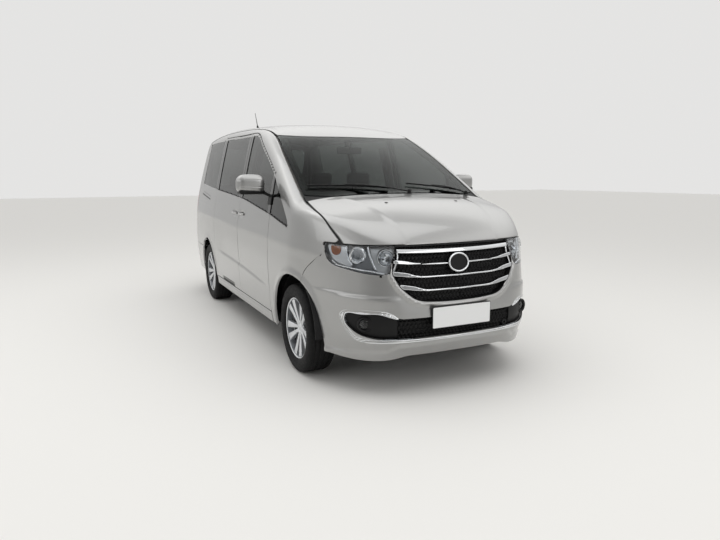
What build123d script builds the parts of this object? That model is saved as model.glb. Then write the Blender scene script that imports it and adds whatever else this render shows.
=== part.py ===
"""Minivan of the one-box kind: a rounded shell cut into its real panels, on a floor, wheels and axles.

Frame: +X forward, +Y to the left, +Z up, millimetres. The origin is on the floor, midway along and
across the vehicle. The body is a rounded form given by a few curves (flank, nose, tail, bonnet,
windscreen, roof). The form less a smaller copy of itself is the wall, and outlines divide the wall.
"""
from build123d import *
import os
import numpy as np

os.makedirs("parts", exist_ok=True)

# ---------------------------------------------------------------- driving dimensions, mm
LENGTH = 4950.0
WIDTH = 1822.0
HEIGHT = 1960.0
WHEELBASE = 2950.0
FRONT_OVERHANG = 880.0
TYRE_RADIUS = 330.0
TYRE_WIDTH = 214.0
RIM_RADIUS = 222.0
WHEEL_FACE_Y = 885.0
ARCH_RADIUS = 405.0
SIDE_WALL = 60.0
TOP_WALL = 38.0
END_WALL = 46.0
PANEL_GAP = 6.0
GLASS = 8.0
GLASS_INSET = 5.0
SILL_HEIGHT = 250.0
FLOOR_HEIGHT = 335.0
FLOOR_PLATE = 30.0
REAR_FLOOR_HEIGHT = 480.0
DOOR_BOTTOM = 343.0

# ---------------------------------------------------------------- places that follow from them
NOSE_X = LENGTH / 2
TAIL_X = -LENGTH / 2
FRONT_AXLE = NOSE_X - FRONT_OVERHANG
REAR_AXLE = FRONT_AXLE - WHEELBASE
HUB_Z = TYRE_RADIUS - 4
WHEEL_Y = WHEEL_FACE_Y - TYRE_WIDTH / 2
KINGPIN_Y = WHEEL_Y - 73
HALF = WIDTH / 2
DOOR_FRONT = FRONT_AXLE - 530
DOOR_JOIN = FRONT_AXLE - 1500
DOOR_REAR = FRONT_AXLE - 2540
HATCH_SEAM = TAIL_X + 405


# ---------------------------------------------------------------- the form of the body
def curve(knots):
    """Natural cubic spline through (place, value) pairs, straight beyond its ends."""
    place = np.array([knot[0] for knot in knots], float)
    value = np.array([knot[1] for knot in knots], float)
    count = len(place)
    step = np.diff(place)
    matrix = np.eye(count)
    right = np.zeros(count)
    for i in range(1, count - 1):
        matrix[i, i - 1] = step[i - 1]
        matrix[i, i] = 2 * (step[i - 1] + step[i])
        matrix[i, i + 1] = step[i]
        right[i] = 6 * ((value[i + 1] - value[i]) / step[i] - (value[i] - value[i - 1]) / step[i - 1])
    bend = np.linalg.solve(matrix, right)
    first = (value[1] - value[0]) / step[0] - step[0] * bend[1] / 6
    last = (value[-1] - value[-2]) / step[-1] + step[-1] * bend[-2] / 6

    def value_at(t):
        t = np.asarray(t, float)
        i = np.clip(np.searchsorted(place, t) - 1, 0, count - 2)
        a = (place[i + 1] - t) / step[i]
        b = (t - place[i]) / step[i]
        cubic = ((a**3 - a) * bend[i] + (b**3 - b) * bend[i + 1]) * step[i] ** 2 / 6
        inside = a * value[i] + b * value[i + 1] + cubic
        before = value[0] + first * (t - place[0])
        after = value[-1] + last * (t - place[-1])
        return np.where(t < place[0], before, np.where(t > place[-1], after, inside))

    return value_at


# half width against height
FLANK = curve([(200, HALF - 49), (300, HALF - 29), (480, HALF - 10), (700, HALF), (900, HALF - 3),
               (1060, HALF - 18), (1250, HALF - 49), (1500, HALF - 101), (1800, HALF - 176),
               (HEIGHT - 10, HALF - 217)])
# how far the nose and the tail stand back, against height
NOSE = curve([(180, 110), (290, 72), (380, 32), (470, 18), (600, 30), (750, 52), (900, 72),
              (1000, 98), (1100, 150)])
TAIL = curve([(250, 90), (380, 40), (520, 8), (650, 5), (800, 30), (1000, 45), (1200, 75),
              (1500, 190), (1800, 315), (1900, 360)])
# heights along the middle of the bonnet, windscreen and roof, against the distance from the front axle
BONNET = curve([(90, 1290), (250, 1268), (380, 1246), (500, 1208), (600, 1162), (700, 1102),
                (760, 1052), (810, 990)])
SCREEN = curve([(-1250, 1950), (-1000, 1830), (-600, 1632), (-200, 1412), (0, 1300), (200, 1186)])
ROOF = curve([(-4000, HEIGHT - 92), (-3700, HEIGHT - 48), (-3300, HEIGHT - 16), (-2700, HEIGHT),
              (-2100, HEIGHT - 3), (-1600, HEIGHT - 22), (-1250, HEIGHT - 54), (-1000, HEIGHT - 92),
              (-800, HEIGHT - 134)])


def round_max(a, b, reach):
    """The larger of two fields, with the corner between them rounded over the reach."""
    near = np.maximum(reach - np.abs(a - b), 0) / reach
    return np.maximum(a, b) + near**3 * reach / 6


def side_field(x, y, z):
    front = np.maximum(0, (x - 1300) / 1000)
    rear = np.maximum(0, (-700 - x) / 1000)
    return np.abs(y) - (FLANK(z) - 45 * front**2 - 20 * rear**2)


def top_field(x, y, z):
    u = x - FRONT_AXLE
    side = np.abs(y) / 1000
    crown = np.interp(u, [0, 300, 600, 800], [48, 80, 110, 120])
    bonnet = z - BONNET(u) + crown * (side / 0.78) ** 2.4
    screen = z - SCREEN(u) + np.interp(u, [-1000, 0], [75, 90]) * side**2
    roof = z - ROOF(u) + 110 * side**2.2
    return -round_max(-bonnet, -round_max(screen, roof, 120), 30)


def nose_x(y, z):
    side = np.abs(y) / 1000
    return NOSE_X - NOSE(z) - 110 * side**2 - 1250 * side**6


def tail_x(y, z):
    side = np.abs(y) / 1000
    return TAIL_X + TAIL(z) + 60 * side**2 + 300 * side**6


# ---------------------------------------------------------------- solids of the form
def body_field(x, y, z, inset):
    """Below zero inside the form drawn in by the inset, with its corners rounded."""
    around = round_max(side_field(x, y, z) + inset, x - nose_x(y, z) + inset, 110)
    around = round_max(around, tail_x(y, z) - x + inset, 140)
    return round_max(around, top_field(x, y, z) + inset, 120)


def find(start, way, inset, reach=2500.0, field=body_field):
    """How far from each start point the form's surface lies along the way, by bisection."""
    low = np.zeros(start[0].shape)
    high = np.full(start[0].shape, reach)
    for _ in range(40):
        mid = (low + high) / 2
        value = field(*(s + w * mid for s, w in zip(start, way)), inset)
        low = np.where(value < 0, mid, low)
        high = np.where(value < 0, high, mid)
    return low


def patch(x, y, z):
    """A smooth face through a grid of points."""
    rows = [[Vector(*point) for point in zip(*line)] for line in zip(x, y, z)]
    return Face.make_surface_from_array_of_points(rows, tol=0.05)


# where the roof, windscreen and bonnet end at the side, against the distance from the front axle
SEAM = [(-4200, 655), (-3900, 676), (-3500, 685), (-3000, 687), (-2500, 688), (-2000, 688), (-1600, 684),
        (-1250, 668), (-1009, 654), (-850, 668), (-700, 693), (-450, 721), (-250, 740), (-40, 757),
        (90, 768), (260, 777), (420, 762), (520, 735), (760, 660)]


def seam_y(x):
    return curve(SEAM)(x - FRONT_AXLE)


def flank_patch(x0, x1, inset=0.0, z0=200.0, columns=38, rows=21):
    """The left flank between two places along the body, from the sill to the roof seam."""
    x = np.linspace(x0, x1, columns)[:, None] + np.zeros((1, rows))
    y_top = seam_y(x) - 12
    z_top = find((x, y_top, 0 * x + 400), (0, 0, 1), inset, 1700)[:, -1:] + 400
    share = np.linspace(0, 1, rows)[None, :]
    z = z0 + (z_top - z0) * (1 - (1 - share) ** 1.6)
    y = find((x, 0 * x + 200, z - 1e-6), (0, 1, 0), inset, 900) + 200
    y[:, -1:] = y_top[:, -1:]
    z[:, -1:] = z_top
    return patch(x, y, z)


def top_patch(x0, x1, half, inset=0.0, columns=40, rows=23):
    """The top of the body between two places along it, out to a half width."""
    x = np.linspace(x0, x1, columns)[:, None] + np.zeros((1, rows))
    y = half * np.linspace(-1, 1, rows)[None, :] + 0 * x
    z = 400 + find((x, y, 0 * x + 400), (0, 0, 1), inset, 1700, top_only)
    return patch(x, y, z)


def top_only(x, y, z, inset):
    return round_max(side_field(x, y, z) + inset, top_field(x, y, z) + inset, 120)


def round_only(x, y, z, inset):
    around = round_max(side_field(x, y, z) + inset, x - nose_x(y, z) + inset, 110)
    return round_max(around, tail_x(y, z) - x + inset, 140)


def end_solid(centre_x, way, inset, levels):
    """The nose or tail as level outlines of the form, lofted upwards, closed across at the centre."""
    spread = np.radians(np.linspace(-84, 84, 25))
    wires = []
    for level in levels:
        dx = way * np.cos(spread)
        dy = np.sin(spread)
        r = find((0 * dx + centre_x, 0 * dx, 0 * dx + level), (dx, dy, 0 * dx), inset, 1400, round_only)
        points = [Vector(centre_x + a * c, b * c, level) for a, b, c in zip(dx, dy, r)]
        wires.append(Wire([Edge.make_spline(points), Edge.make_line(points[-1], points[0])]))
    return Solid.make_loft(wires, ruled=False)


# ---------------------------------------------------------------- outlines and prisms
def outline(place, *runs):
    """A closed face from runs of points that follow on: two points are a line, more a smooth curve."""
    edges = []
    for run in runs:
        points = [place(*point) for point in run]
        edges.append(Edge.make_line(*points) if len(points) == 2 else Edge.make_spline(points))
    return Face(Wire(edges))


def polygon(*points):
    """Runs for an outline with straight sides."""
    return [(points[i], points[(i + 1) % len(points)]) for i in range(len(points))]


def side_prism(*runs, low=300.0, high=1200.0):
    """An outline in X and Z carried across the left side."""
    return Solid.extrude(outline(lambda x, z: Vector(x, low, z), *runs), Vector(0, high - low, 0))


def front_prism(*runs, low=1300.0, high=2700.0):
    """An outline in Y and Z carried along X."""
    return Solid.extrude(outline(lambda y, z: Vector(low, y, z), *runs), Vector(high - low, 0, 0))


def plan_prism(*runs, low=850.0, high=2200.0):
    """An outline in X and Y carried up."""
    return Solid.extrude(outline(lambda x, y: Vector(x, y, low), *runs), Vector(0, 0, high - low))


def block(x0, x1, y0, y1, z0, z1):
    return Pos((x0 + x1) / 2, (y0 + y1) / 2, (z0 + z1) / 2) * Box(x1 - x0, y1 - y0, z1 - z0)


def rod(start, end, radius):
    """A round bar between two points."""
    start, end = Vector(*start), Vector(*end)
    run = end - start
    return Solid.make_cylinder(radius, run.length, Plane(origin=start, z_dir=run))


def mirrored(shape):
    return mirror(shape, about=Plane.XZ)


def pair(shape):
    return [shape, mirrored(shape)]


def write(name, *shapes):
    """One STEP file for a node, with each of its solids apart."""
    solids = [solid for shape in shapes for solid in shape.solids()]
    whole = solids[0] if len(solids) == 1 else Compound(children=solids)
    whole.label = name
    export_step(whole, f"parts/{name}.step")


def box_of(shape):
    box = shape.bounding_box()
    return box.min, box.max


# ---------------------------------------------------------------- outlines on the body
def ahead(u):
    """A place given by its distance ahead of the front axle."""
    return FRONT_AXLE + u


BELT = curve([(-3470, 1352), (-2940, 1320), (-2390, 1290), (-1730, 1255), (-1290, 1224), (-910, 1182),
              (-490, 1133), (-225, 1092), (-44, 1067)])
CANT = curve([(-3440, 1818), (-2570, 1816), (-1500, 1803), (-1250, 1775), (-1095, 1700), (-800, 1560),
              (-520, 1410), (-44, 1067)])
DOOR_FRAME = 30.0


def between(line, u0, u1, rise=0.0, count=7):
    """Points along one of the window lines."""
    return [(ahead(u), float(line(u)) + rise) for u in np.linspace(u0, u1, count)]


def window(rear_low, rear_top, front_top, front_low):
    """A side window's outline: belt line below, cant line above, straight at its ends."""
    low = between(BELT, rear_low, front_low)
    top = between(CANT, front_top, rear_top)
    return [low, [low[-1], top[0]], top, [top[-1], low[0]]]


def quarter_window():
    low = between(BELT, -536, -80)
    top = between(CANT, -105, -536)
    return [low, [low[-1], top[0]], top, [top[-1], low[0]]]


def door(rear, front, gap, lean=0.0):
    """A side door's outline, with its window frame above the belt, drawn in by the gap."""
    top = between(CANT, front - lean - gap, rear + gap, DOOR_FRAME - gap)
    belt = (ahead(front - gap), float(BELT(front)))
    foot = DOOR_BOTTOM + gap
    rear_foot = (ahead(rear + gap), foot)
    front_foot = (ahead(front - gap), foot)
    return [top, [top[-1], rear_foot], [rear_foot, front_foot], [front_foot, belt], [belt, top[0]]]


def top_zone(rear_u, front_u, gap=0.0):
    """What lies between the two side seams, seen from above."""
    places = [rear_u] + [u for u, _ in SEAM if rear_u + 40 < u < front_u - 40] + [front_u]
    left = [(ahead(u), float(curve(SEAM)(u)) - gap) for u in places]
    right = [(x, -y) for x, y in reversed(left)]
    return [left, [left[-1], right[0]], right, [right[-1], left[0]]]


def arch(axle_x, radius=ARCH_RADIUS):
    return Solid.make_cylinder(radius, 3000, Plane(origin=(axle_x, -1500, HUB_Z), z_dir=(0, 1, 0)))


SCREEN_LOW = [(-95, -752), (-45, -600), (-22, -400), (-12, 0), (-22, 400), (-45, 600), (-95, 752)]
SCREEN_TOP = [(-1009, 652), (-963, 524), (-914, 200), (-910, 0), (-914, -200), (-963, -524),
              (-1009, -652)]
HOOD_REAR = [(-4, -745), (-12, -656), (-5, -450), (14, -176), (22, 0), (14, 176), (-5, 450),
             (-12, 656), (-4, 745)]


def across(points, shift=0.0):
    return [(ahead(u + shift), y) for u, y in points]


# ---------------------------------------------------------------- raw walls
WALL_WAY = Vector(0, -SIDE_WALL, -0.58 * SIDE_WALL)
FLANK_REAR = -1950.0
FLANK_FRONT = FRONT_AXLE + 525
ZONE = plan_prism(*top_zone(-4300, 900))
flank = Solid.extrude(flank_patch(FLANK_REAR, FLANK_FRONT), WALL_WAY) - ZONE
flank = flank & block(-3000, 3000, 300, 1200, SILL_HEIGHT, 2200)
glass_way = Vector(0, -GLASS, -0.58 * GLASS)
flank_glass = Solid.extrude(flank_patch(FLANK_REAR, FLANK_FRONT, GLASS_INSET), glass_way)
levels = [200, 260, 320, 380, 440, 500, 560, 620, 700, 780, 860, 940, 1010]
nose_solid = end_solid(1450, 1, 0, levels)
nose_wall = nose_solid - end_solid(1450, 1, END_WALL, [150] + levels[1:-1] + [1060])
levels = [200, 300, 400, 520, 650, 800, 950, 1100, 1250, 1400, 1550, 1700, 1850, 1960]
tail_top = block(-2700, -1400, -1000, 1000, 1440, 2200)


def under_roof(inset):
    """A block whose upper face is the roof's form at the tail."""
    x = np.linspace(-2640, -1380, 17)[:, None] + np.zeros((1, 25))
    y = 845 * np.sin(np.linspace(-1, 1, 25) * np.pi / 2)[None, :] + 0 * x
    z = 400 + find((x, y, 0 * x + 400), (0, 0, 1), inset, 1700, top_only)
    return Solid.extrude(patch(x, y, z), Vector(0, 0, -1700))


tail_solid = end_solid(-1500, -1, 0, levels) - (tail_top - under_roof(0))
tail_hollow = end_solid(-1500, -1, END_WALL, [150] + levels[1:-1] + [2000])
tail_hollow = tail_hollow - (tail_top - under_roof(TOP_WALL))
tail_wall = (tail_solid - tail_hollow) & block(-2700, FLANK_REAR, -1000, 1000, SILL_HEIGHT, 2200)
roof_slab = Solid.extrude(top_patch(-2150, 740, 800), Vector(0, 0, -TOP_WALL))
screen_slab = Solid.extrude(top_patch(520, 1640, 800, GLASS_INSET), Vector(0, 0, -1.7 * GLASS))
cowl_slab = Solid.extrude(top_patch(1400, 1760, 800), Vector(0, 0, -TOP_WALL))
hood_slab = Solid.extrude(top_patch(1540, 2470, 790), Vector(0, 0, -TOP_WALL))

# ---------------------------------------------------------------- side panels
front_door_hole = side_prism(*door(-1500, -530, 0.0, 22))
sliding_hole = side_prism(*door(-2540, -1500, 0.0))
front_door_panel = side_prism(*door(-1500, -530, PANEL_GAP, 22))
front_window = side_prism(*window(-1440, -1440, -592, -592))
sliding_window = side_prism(*window(-2480, -2480, -1560, -1560))
rear_window = side_prism(*window(-3450, -3415, -2600, -2600))
quarter_hole = side_prism(*quarter_window())
LAMP_SIDE = [(411, 1003), (430, 960), (437, 936), (470, 889), (577, 853), (691, 827), (777, 809),
             (880, 795)]
FENDER_SEAM = [(271, 630), (278, 700), (300, 790), (332, 875), (365, 946), (411, 1003)]
BONNET_EDGE = 996.0


def fender_runs():
    """The front wing: sill to belt behind the wheel, bonnet seam above, lamp and bumper ahead."""
    belt = between(BELT, -530, -44)
    seam = across(FENDER_SEAM)[::-1]
    high = [(ahead(-44), 1500.0), (ahead(560), 1500.0), (ahead(560), 1003.0), seam[0]]
    low = [seam[-1], (ahead(230), 560.0), (ahead(0), 330.0), (ahead(0), 200.0), (ahead(-530), 200.0),
           belt[0]]
    straight = [[belt[-1], high[0]]] + [high[i:i + 2] for i in range(3)] + [seam]
    return [belt] + straight + [low[i:i + 2] for i in range(5)]


fender_zone = side_prism(*fender_runs())
front_fender = (flank & fender_zone) - arch(FRONT_AXLE)
front_door = (flank & front_door_panel) - front_window
sliding_door = (flank & sliding_hole) - sliding_window - arch(REAR_AXLE)
sill_zone = block(DOOR_REAR - 60, DOOR_FRONT, 300, 1200, 200, DOOR_BOTTOM)
ring = flank - fender_zone - front_door_hole - sliding_hole - quarter_hole - rear_window - sill_zone
ring = (ring & block(-3000, ahead(-44), 0, 1200, 0, 2200)) - arch(REAR_AXLE)


def big(shape, least=2e5):
    """The solids of a shape that are larger than a sliver."""
    return [solid for solid in shape.solids() if solid.volume > least]


# ---------------------------------------------------------------- nose
GRILLE_SIDE = [(446, 1004), (456, 950), (474, 890), (480, 830), (470, 780), (438, 735), (360, 665),
               (273, 632)]
INTAKE_HALF = [(0, 388), (300, 388), (480, 384), (600, 398), (690, 430), (738, 490), (722, 558),
               (640, 568), (500, 560), (420, 522)]


def both_sides(half):
    return [(-y, z) for y, z in reversed(half)] + half


def grille_runs():
    left = GRILLE_SIDE
    right = [(-y, z) for y, z in reversed(left)]
    bow = [left[-1], (0, 620), right[0]]
    return [left, bow, right, [right[-1], left[0]]]


def intake_runs():
    low = [(-y, z) for y, z in reversed(INTAKE_HALF[1:7])] + INTAKE_HALF[:7]
    left = INTAKE_HALF[6:]
    right = [(-y, z) for y, z in reversed(left)]
    return [low, left, [left[-1], right[0]], right]


def lip_runs():
    """Everything above the bumper's lower edge, seen from the front."""
    half = [(0, 266), (380, 264), (450, 246), (560, 235), (700, 240), (830, 258), (1000, 270)]
    low = [(-y, z) for y, z in reversed(half[1:])] + half
    corners = [(1000, BONNET_EDGE), (-1000, BONNET_EDGE)]
    return [low, [low[-1], corners[0]], corners, [corners[1], low[0]]]


def ahead_of_seam():
    seam = across(FENDER_SEAM)
    rest = [seam[-1], (ahead(411), 1100.0), (ahead(1000), 1100.0), (ahead(1000), 150.0),
            (ahead(0), 150.0), (ahead(0), 330.0), (ahead(230), 560.0), seam[0]]
    return [seam] + [rest[i:i + 2] for i in range(len(rest) - 1)]


def lamp_runs():
    edge = across(LAMP_SIDE)
    corner = [(edge[-1][0], BONNET_EDGE), (edge[0][0] + 20, BONNET_EDGE)]
    return [edge, [edge[-1], corner[0]], [corner[0], corner[1]], [corner[1], edge[0]]]


def lamp_inner():
    inner = [(504, 800), (492, 870), (472, 930), (458, 970), (452, 1020)]
    corners = [(1000, 1020), (1000, 800)]
    return [inner, [inner[-1], corners[0]], corners, [corners[1], inner[0]]]


nose_zone = side_prism(*ahead_of_seam(), low=-1200)
lamp_zone = side_prism(*lamp_runs()) & front_prism(*lamp_inner())
grille_hole = front_prism(*grille_runs(), low=2000)
intake_hole = front_prism(*intake_runs(), low=1900)
grille_hole = grille_hole - lamp_zone - mirrored(lamp_zone)
headlamp = nose_wall & lamp_zone
bumper = (nose_wall & nose_zone & front_prism(*lip_runs())) - lamp_zone - mirrored(lamp_zone)
bumper = bumper - grille_hole - intake_hole - arch(FRONT_AXLE)
mesh_levels = [340, 440, 500, 560, 620, 700, 780, 860, 940, 1010]
mesh_front = end_solid(1450, 1, 24, mesh_levels)
mesh_wall = mesh_front - end_solid(1450, 1, 36, [300] + mesh_levels[1:-1] + [1060])
grille_mesh = (mesh_wall & grille_hole)
intake_mesh = (mesh_wall & intake_hole)
slat_wall = nose_solid - mesh_front


def slat_runs(height, bow, reach, thick):
    """A bar of the grille seen from the front, bowed down at the middle."""
    half = [(0, height - bow), (reach * 0.6, height - bow * 0.7), (reach, height)]
    under = [(-y, z) for y, z in reversed(half[1:])] + half
    over = [(y, z + thick) for y, z in reversed(under)]
    return [under, [under[-1], over[0]], over, [over[-1], under[0]]]


SLATS = [(962, 0, 600, 24), (868, 6, 600, 15), (786, 10, 600, 15), (706, 12, 600, 15)]
slats = [slat_wall & grille_hole & front_prism(*slat_runs(*slat), low=2000) for slat in SLATS]

# ---------------------------------------------------------------- bonnet, screen, roof
nose_cap = end_solid(1450, 1, 0, [960, 1000, 1040, 1080, 1150, 1250, 1400])


def bonnet_runs(gap):
    seam = [u for u, _ in SEAM if 60 < u < 700]
    left = [(ahead(u), float(curve(SEAM)(u)) - gap) for u in seam]
    right = [(x, -y) for x, y in reversed(left)]
    rear = [(x + gap, y) for x, y in across(HOOD_REAR)]
    front = [(ahead(900), left[-1][1]), (ahead(900), right[0][1])]
    return [rear, [rear[-1], left[0]], left, [left[-1], front[0]], front, [front[1], right[0]], right,
            [right[-1], rear[0]]]


bonnet = hood_slab & nose_cap & plan_prism(*bonnet_runs(PANEL_GAP))
bonnet = bonnet & block(1400, 2700, -1000, 1000, BONNET_EDGE + PANEL_GAP, 2000)


def band(rear, front):
    """What lies between two curves across the car, from side seam to side seam."""
    rear, front = across(rear), across(front)
    out = 1000.0 if rear[0][1] > 0 else -1000.0
    corners = [(rear[0][0] - 30, out), (front[0][0] - 30, out)]
    others = [(front[-1][0] - 30, -out), (rear[-1][0] - 30, -out)]
    runs = [rear[::-1], [rear[0], corners[0]], corners, [corners[1], front[0]], front,
            [front[-1], others[0]], others, [others[1], rear[-1]]]
    return plan_prism(*runs) & ZONE


screen = screen_slab & band(SCREEN_TOP[::-1], SCREEN_LOW)
cowl = cowl_slab & band(SCREEN_LOW, HOOD_REAR)
roof = roof_slab & ZONE & block(HATCH_SEAM, 800, -1000, 1000, 0, 2200)
roof = roof - band(SCREEN_TOP[::-1], SCREEN_LOW)

# ---------------------------------------------------------------- tail
HATCH_FOOT = 600.0


def hatch_runs(gap):
    """The tailgate's outline from behind."""
    half = [(700, HATCH_FOOT + gap), (742, 900), (738, 1250), (700, 1600), (668, 1800), (650, 2100)]
    left = [(y - gap, z) for y, z in half]
    right = [(-y, z) for y, z in reversed(left)]
    return [left, [left[-1], right[0]], right, [right[-1], left[0]]]


def rear_window_runs(inset=0.0):
    half = [(600 - inset, 1350 + inset), (622 - inset, 1500), (592 - inset, 1760 - inset)]
    left = [(0, 1338 + inset), (350, 1341 + inset), half[0]]
    low = [(-y, z) for y, z in reversed(left[1:])] + left
    top = [(592 - inset, 1760 - inset), (300, 1782 - inset), (0, 1786 - inset), (-300, 1782 - inset),
           (-592 + inset, 1760 - inset)]
    right = [(-y, z) for y, z in reversed(half)]
    return [low, half, top, right]


hatch_hole = front_prism(*hatch_runs(0), low=-2700, high=-1900)
hatch_hole = hatch_hole & block(-2700, HATCH_SEAM, -1000, 1000, 0, 2200)
hatch_zone = front_prism(*hatch_runs(PANEL_GAP), low=-2700, high=-1900)
hatch_zone = hatch_zone & block(-2700, HATCH_SEAM - PANEL_GAP, -1000, 1000, 0, 2200)
hatch_glass_hole = front_prism(*rear_window_runs(), low=-2700, high=-2000)
tailgate = (tail_wall & hatch_zone) - hatch_glass_hole
hatch_glass_wall = end_solid(-1500, -1, GLASS_INSET, [1250, 1350, 1450, 1550, 1650, 1750, 1850])
hatch_glass_wall = hatch_glass_wall - end_solid(-1500, -1, GLASS_INSET + GLASS,
                                                [1200, 1350, 1450, 1550, 1650, 1750, 1900])
hatch_glass = hatch_glass_wall & hatch_glass_hole
tail_sides = tail_wall - hatch_hole - ZONE
tail_sides = tail_sides - arch(REAR_AXLE)
bumper_zone = block(-2700, -1700, -1000, 1000, 0, HATCH_FOOT)
rear_bumper = (tail_wall & bumper_zone) - arch(REAR_AXLE)
lamp_x = TAIL_X + 330
tail_lamp_runs = [[(lamp_x - 30, 960), (lamp_x, 1110), (lamp_x - 20, 1270)],
                  [(lamp_x - 20, 1270), (-2700, 1290)], [(-2700, 1290), (-2700, 940)],
                  [(-2700, 940), (lamp_x - 30, 960)]]
tail_lamp_zone = side_prism(*tail_lamp_runs, low=500)
tail_lamp = (tail_wall - hatch_hole) & tail_lamp_zone
quarter = (tail_sides - bumper_zone - tail_lamp_zone) & block(-2700, 0, 0, 1200, 0, 2200)
body_side = Compound(big(ring)) + Compound(big(quarter))

# ---------------------------------------------------------------- glass in the sides
front_glass = flank_glass & front_window
sliding_glass = flank_glass & sliding_window
rear_glass = flank_glass & rear_window
quarter_glass = (flank_glass & quarter_hole) - ZONE
tail_pane = end_solid(-1500, -1, GLASS_INSET, levels) - end_solid(-1500, -1, GLASS_INSET + GLASS,
                                                                [150] + levels[1:-1] + [2000])
tail_pane = tail_pane & rear_window & block(-2700, FLANK_REAR, 0, 1200, 0, 2200)

# ---------------------------------------------------------------- sills, posts, floor
SILL_IN = 86.0
INNER_WAY = Vector(0, -46, 0)
post_patch = Solid.extrude(flank_patch(-1200, DOOR_FRONT + 160, SILL_IN), INNER_WAY)
centre_post = post_patch & block(DOOR_JOIN - 48, DOOR_JOIN + 52, 0, 1200, FLOOR_HEIGHT, 1990) - roof
centre_post = Compound(big(centre_post, 1e6))
hinge_post = post_patch & block(DOOR_FRONT + 8, DOOR_FRONT + 100, 0, 1200, FLOOR_HEIGHT, 1090)
sill_outer = flank & block(REAR_AXLE + ARCH_RADIUS + 2, DOOR_FRONT, 300, 1200, 200, DOOR_BOTTOM)
sill_inner = block(REAR_AXLE + ARCH_RADIUS + 2, DOOR_FRONT + 100, 700, 842, SILL_HEIGHT, FLOOR_HEIGHT)
sill_inner = sill_inner - flank
sill = sill_outer + sill_inner + centre_post + hinge_post
FLOOR_HALF = 800.0
REAR_STEP = REAR_AXLE + 480
WELL_IN = 612.0
BULKHEAD_TOP = 790.0
floor_low = block(REAR_STEP, ahead(-450), -FLOOR_HALF, FLOOR_HALF, FLOOR_HEIGHT, FLOOR_HEIGHT + FLOOR_PLATE)
floor_low = floor_low - Compound(pair(centre_post + hinge_post))
step = block(REAR_STEP - FLOOR_PLATE, REAR_STEP, -FLOOR_HALF + 40, FLOOR_HALF - 40, FLOOR_HEIGHT,
             REAR_FLOOR_HEIGHT + FLOOR_PLATE)
floor_rear = block(TAIL_X + 120, REAR_STEP, -760, 760, REAR_FLOOR_HEIGHT, REAR_FLOOR_HEIGHT + FLOOR_PLATE)
wells = [block(REAR_AXLE - ARCH_RADIUS - 6, REAR_AXLE + ARCH_RADIUS + 6, WELL_IN, 1000, 0, 1000)]
wells.append(mirrored(wells[0]))
bulkhead = block(ahead(-450), ahead(-425), -740, 740, FLOOR_HEIGHT, BULKHEAD_TOP)
floor_rear = floor_rear - tail_wall
floor_pan = floor_low + step + floor_rear + bulkhead - wells[0] - wells[1]


def liner(axle_x, y_in):
    """A wheel arch's inner skin: a half ring above the hub, from its inner edge out to the wall."""
    ring_band = Solid.make_cylinder(ARCH_RADIUS, 870 - y_in, Plane(origin=(axle_x, y_in, HUB_Z),
                                                                z_dir=(0, 1, 0)))
    bore = Solid.make_cylinder(ARCH_RADIUS - 5, 870 - y_in, Plane(origin=(axle_x, y_in, HUB_Z),
                                                                 z_dir=(0, 1, 0)))
    return (ring_band - bore) & block(axle_x - 500, axle_x + 500, 0, 1000, HUB_Z + 10, 1000)


front_liner = liner(FRONT_AXLE, 600) - flank - nose_wall
rear_liner = liner(REAR_AXLE, WELL_IN) - flank
well_wall = Solid.make_cylinder(ARCH_RADIUS, 5, Plane(origin=(REAR_AXLE, WELL_IN - 5, HUB_Z),
                                                     z_dir=(0, 1, 0)))
well_wall = well_wall & block(REAR_AXLE - 500, REAR_AXLE + 500, 0, 1000, HUB_Z + 10, 1000)
rear_liner = rear_liner + well_wall - floor_pan

# ---------------------------------------------------------------- wheels
RIM_HALF = TYRE_WIDTH / 2 - 18
RIM_FACE = RIM_HALF - 66
HUB_FACE = WHEEL_Y + RIM_FACE - 0.3


def wheel_at(shape, x, y, left):
    """A wheel part made about the Y axis at the origin, outer face towards +Y, set in its place."""
    side = shape if left else mirrored(shape)
    return Pos(x, y if left else -y, HUB_Z) * side


def lathe(points):
    """A ring turned about the Y axis from a profile of (radius, y) points."""
    face = Face(Wire.make_polygon([Vector(r, y, 0) for r, y in points], close=True))
    return Solid.revolve(face, 360, Axis((0, 0, 0), (0, 1, 0)))


def tyre_shape():
    half = TYRE_WIDTH / 2
    r = TYRE_RADIUS
    bead = RIM_RADIUS + 1
    points = [(bead, -half + 22), (bead + 28, -half + 4), (r - 42, -half), (r - 12, -half + 14),
              (r, -half + 38), (r, half - 38), (r - 12, half - 14), (r - 42, half), (bead + 28, half - 4),
              (bead, half - 22)]
    return lathe(points)


def rim_shape():
    """A barrel with a flanged lip, a hub and five pairs of spokes that widen to the lip."""
    half = RIM_HALF
    inner = RIM_RADIUS - 13
    barrel = [(inner + 1, -half), (RIM_RADIUS, -half), (RIM_RADIUS, half), (inner - 3, half)]
    hub = [(0.0, RIM_FACE), (72, RIM_FACE), (72, half - 22), (30, half - 14), (0.0, half - 14)]
    pocket = [(60, RIM_FACE), (inner, RIM_FACE), (inner, RIM_FACE + 8), (60, RIM_FACE + 8)]
    plan = [Vector(50, RIM_FACE + 8, 10), Vector(inner, RIM_FACE + 8, 34),
            Vector(inner, RIM_FACE + 8, 74), Vector(50, RIM_FACE + 8, 36)]
    spoke = Solid.extrude(Face(Wire.make_polygon(plan, close=True)), Vector(0, 44, 0))
    spoke = spoke - lathe([(46, half - 20), (inner, half - 2), (inner, half + 60), (46, half + 60)])
    wheel = lathe(barrel) + lathe(hub) + lathe(pocket)
    for turn in range(5):
        for one in (spoke, mirror(spoke, about=Plane.XY)):
            wheel = wheel + one.rotate(Axis.Y, 90 + 72 * turn)
    return wheel


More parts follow.
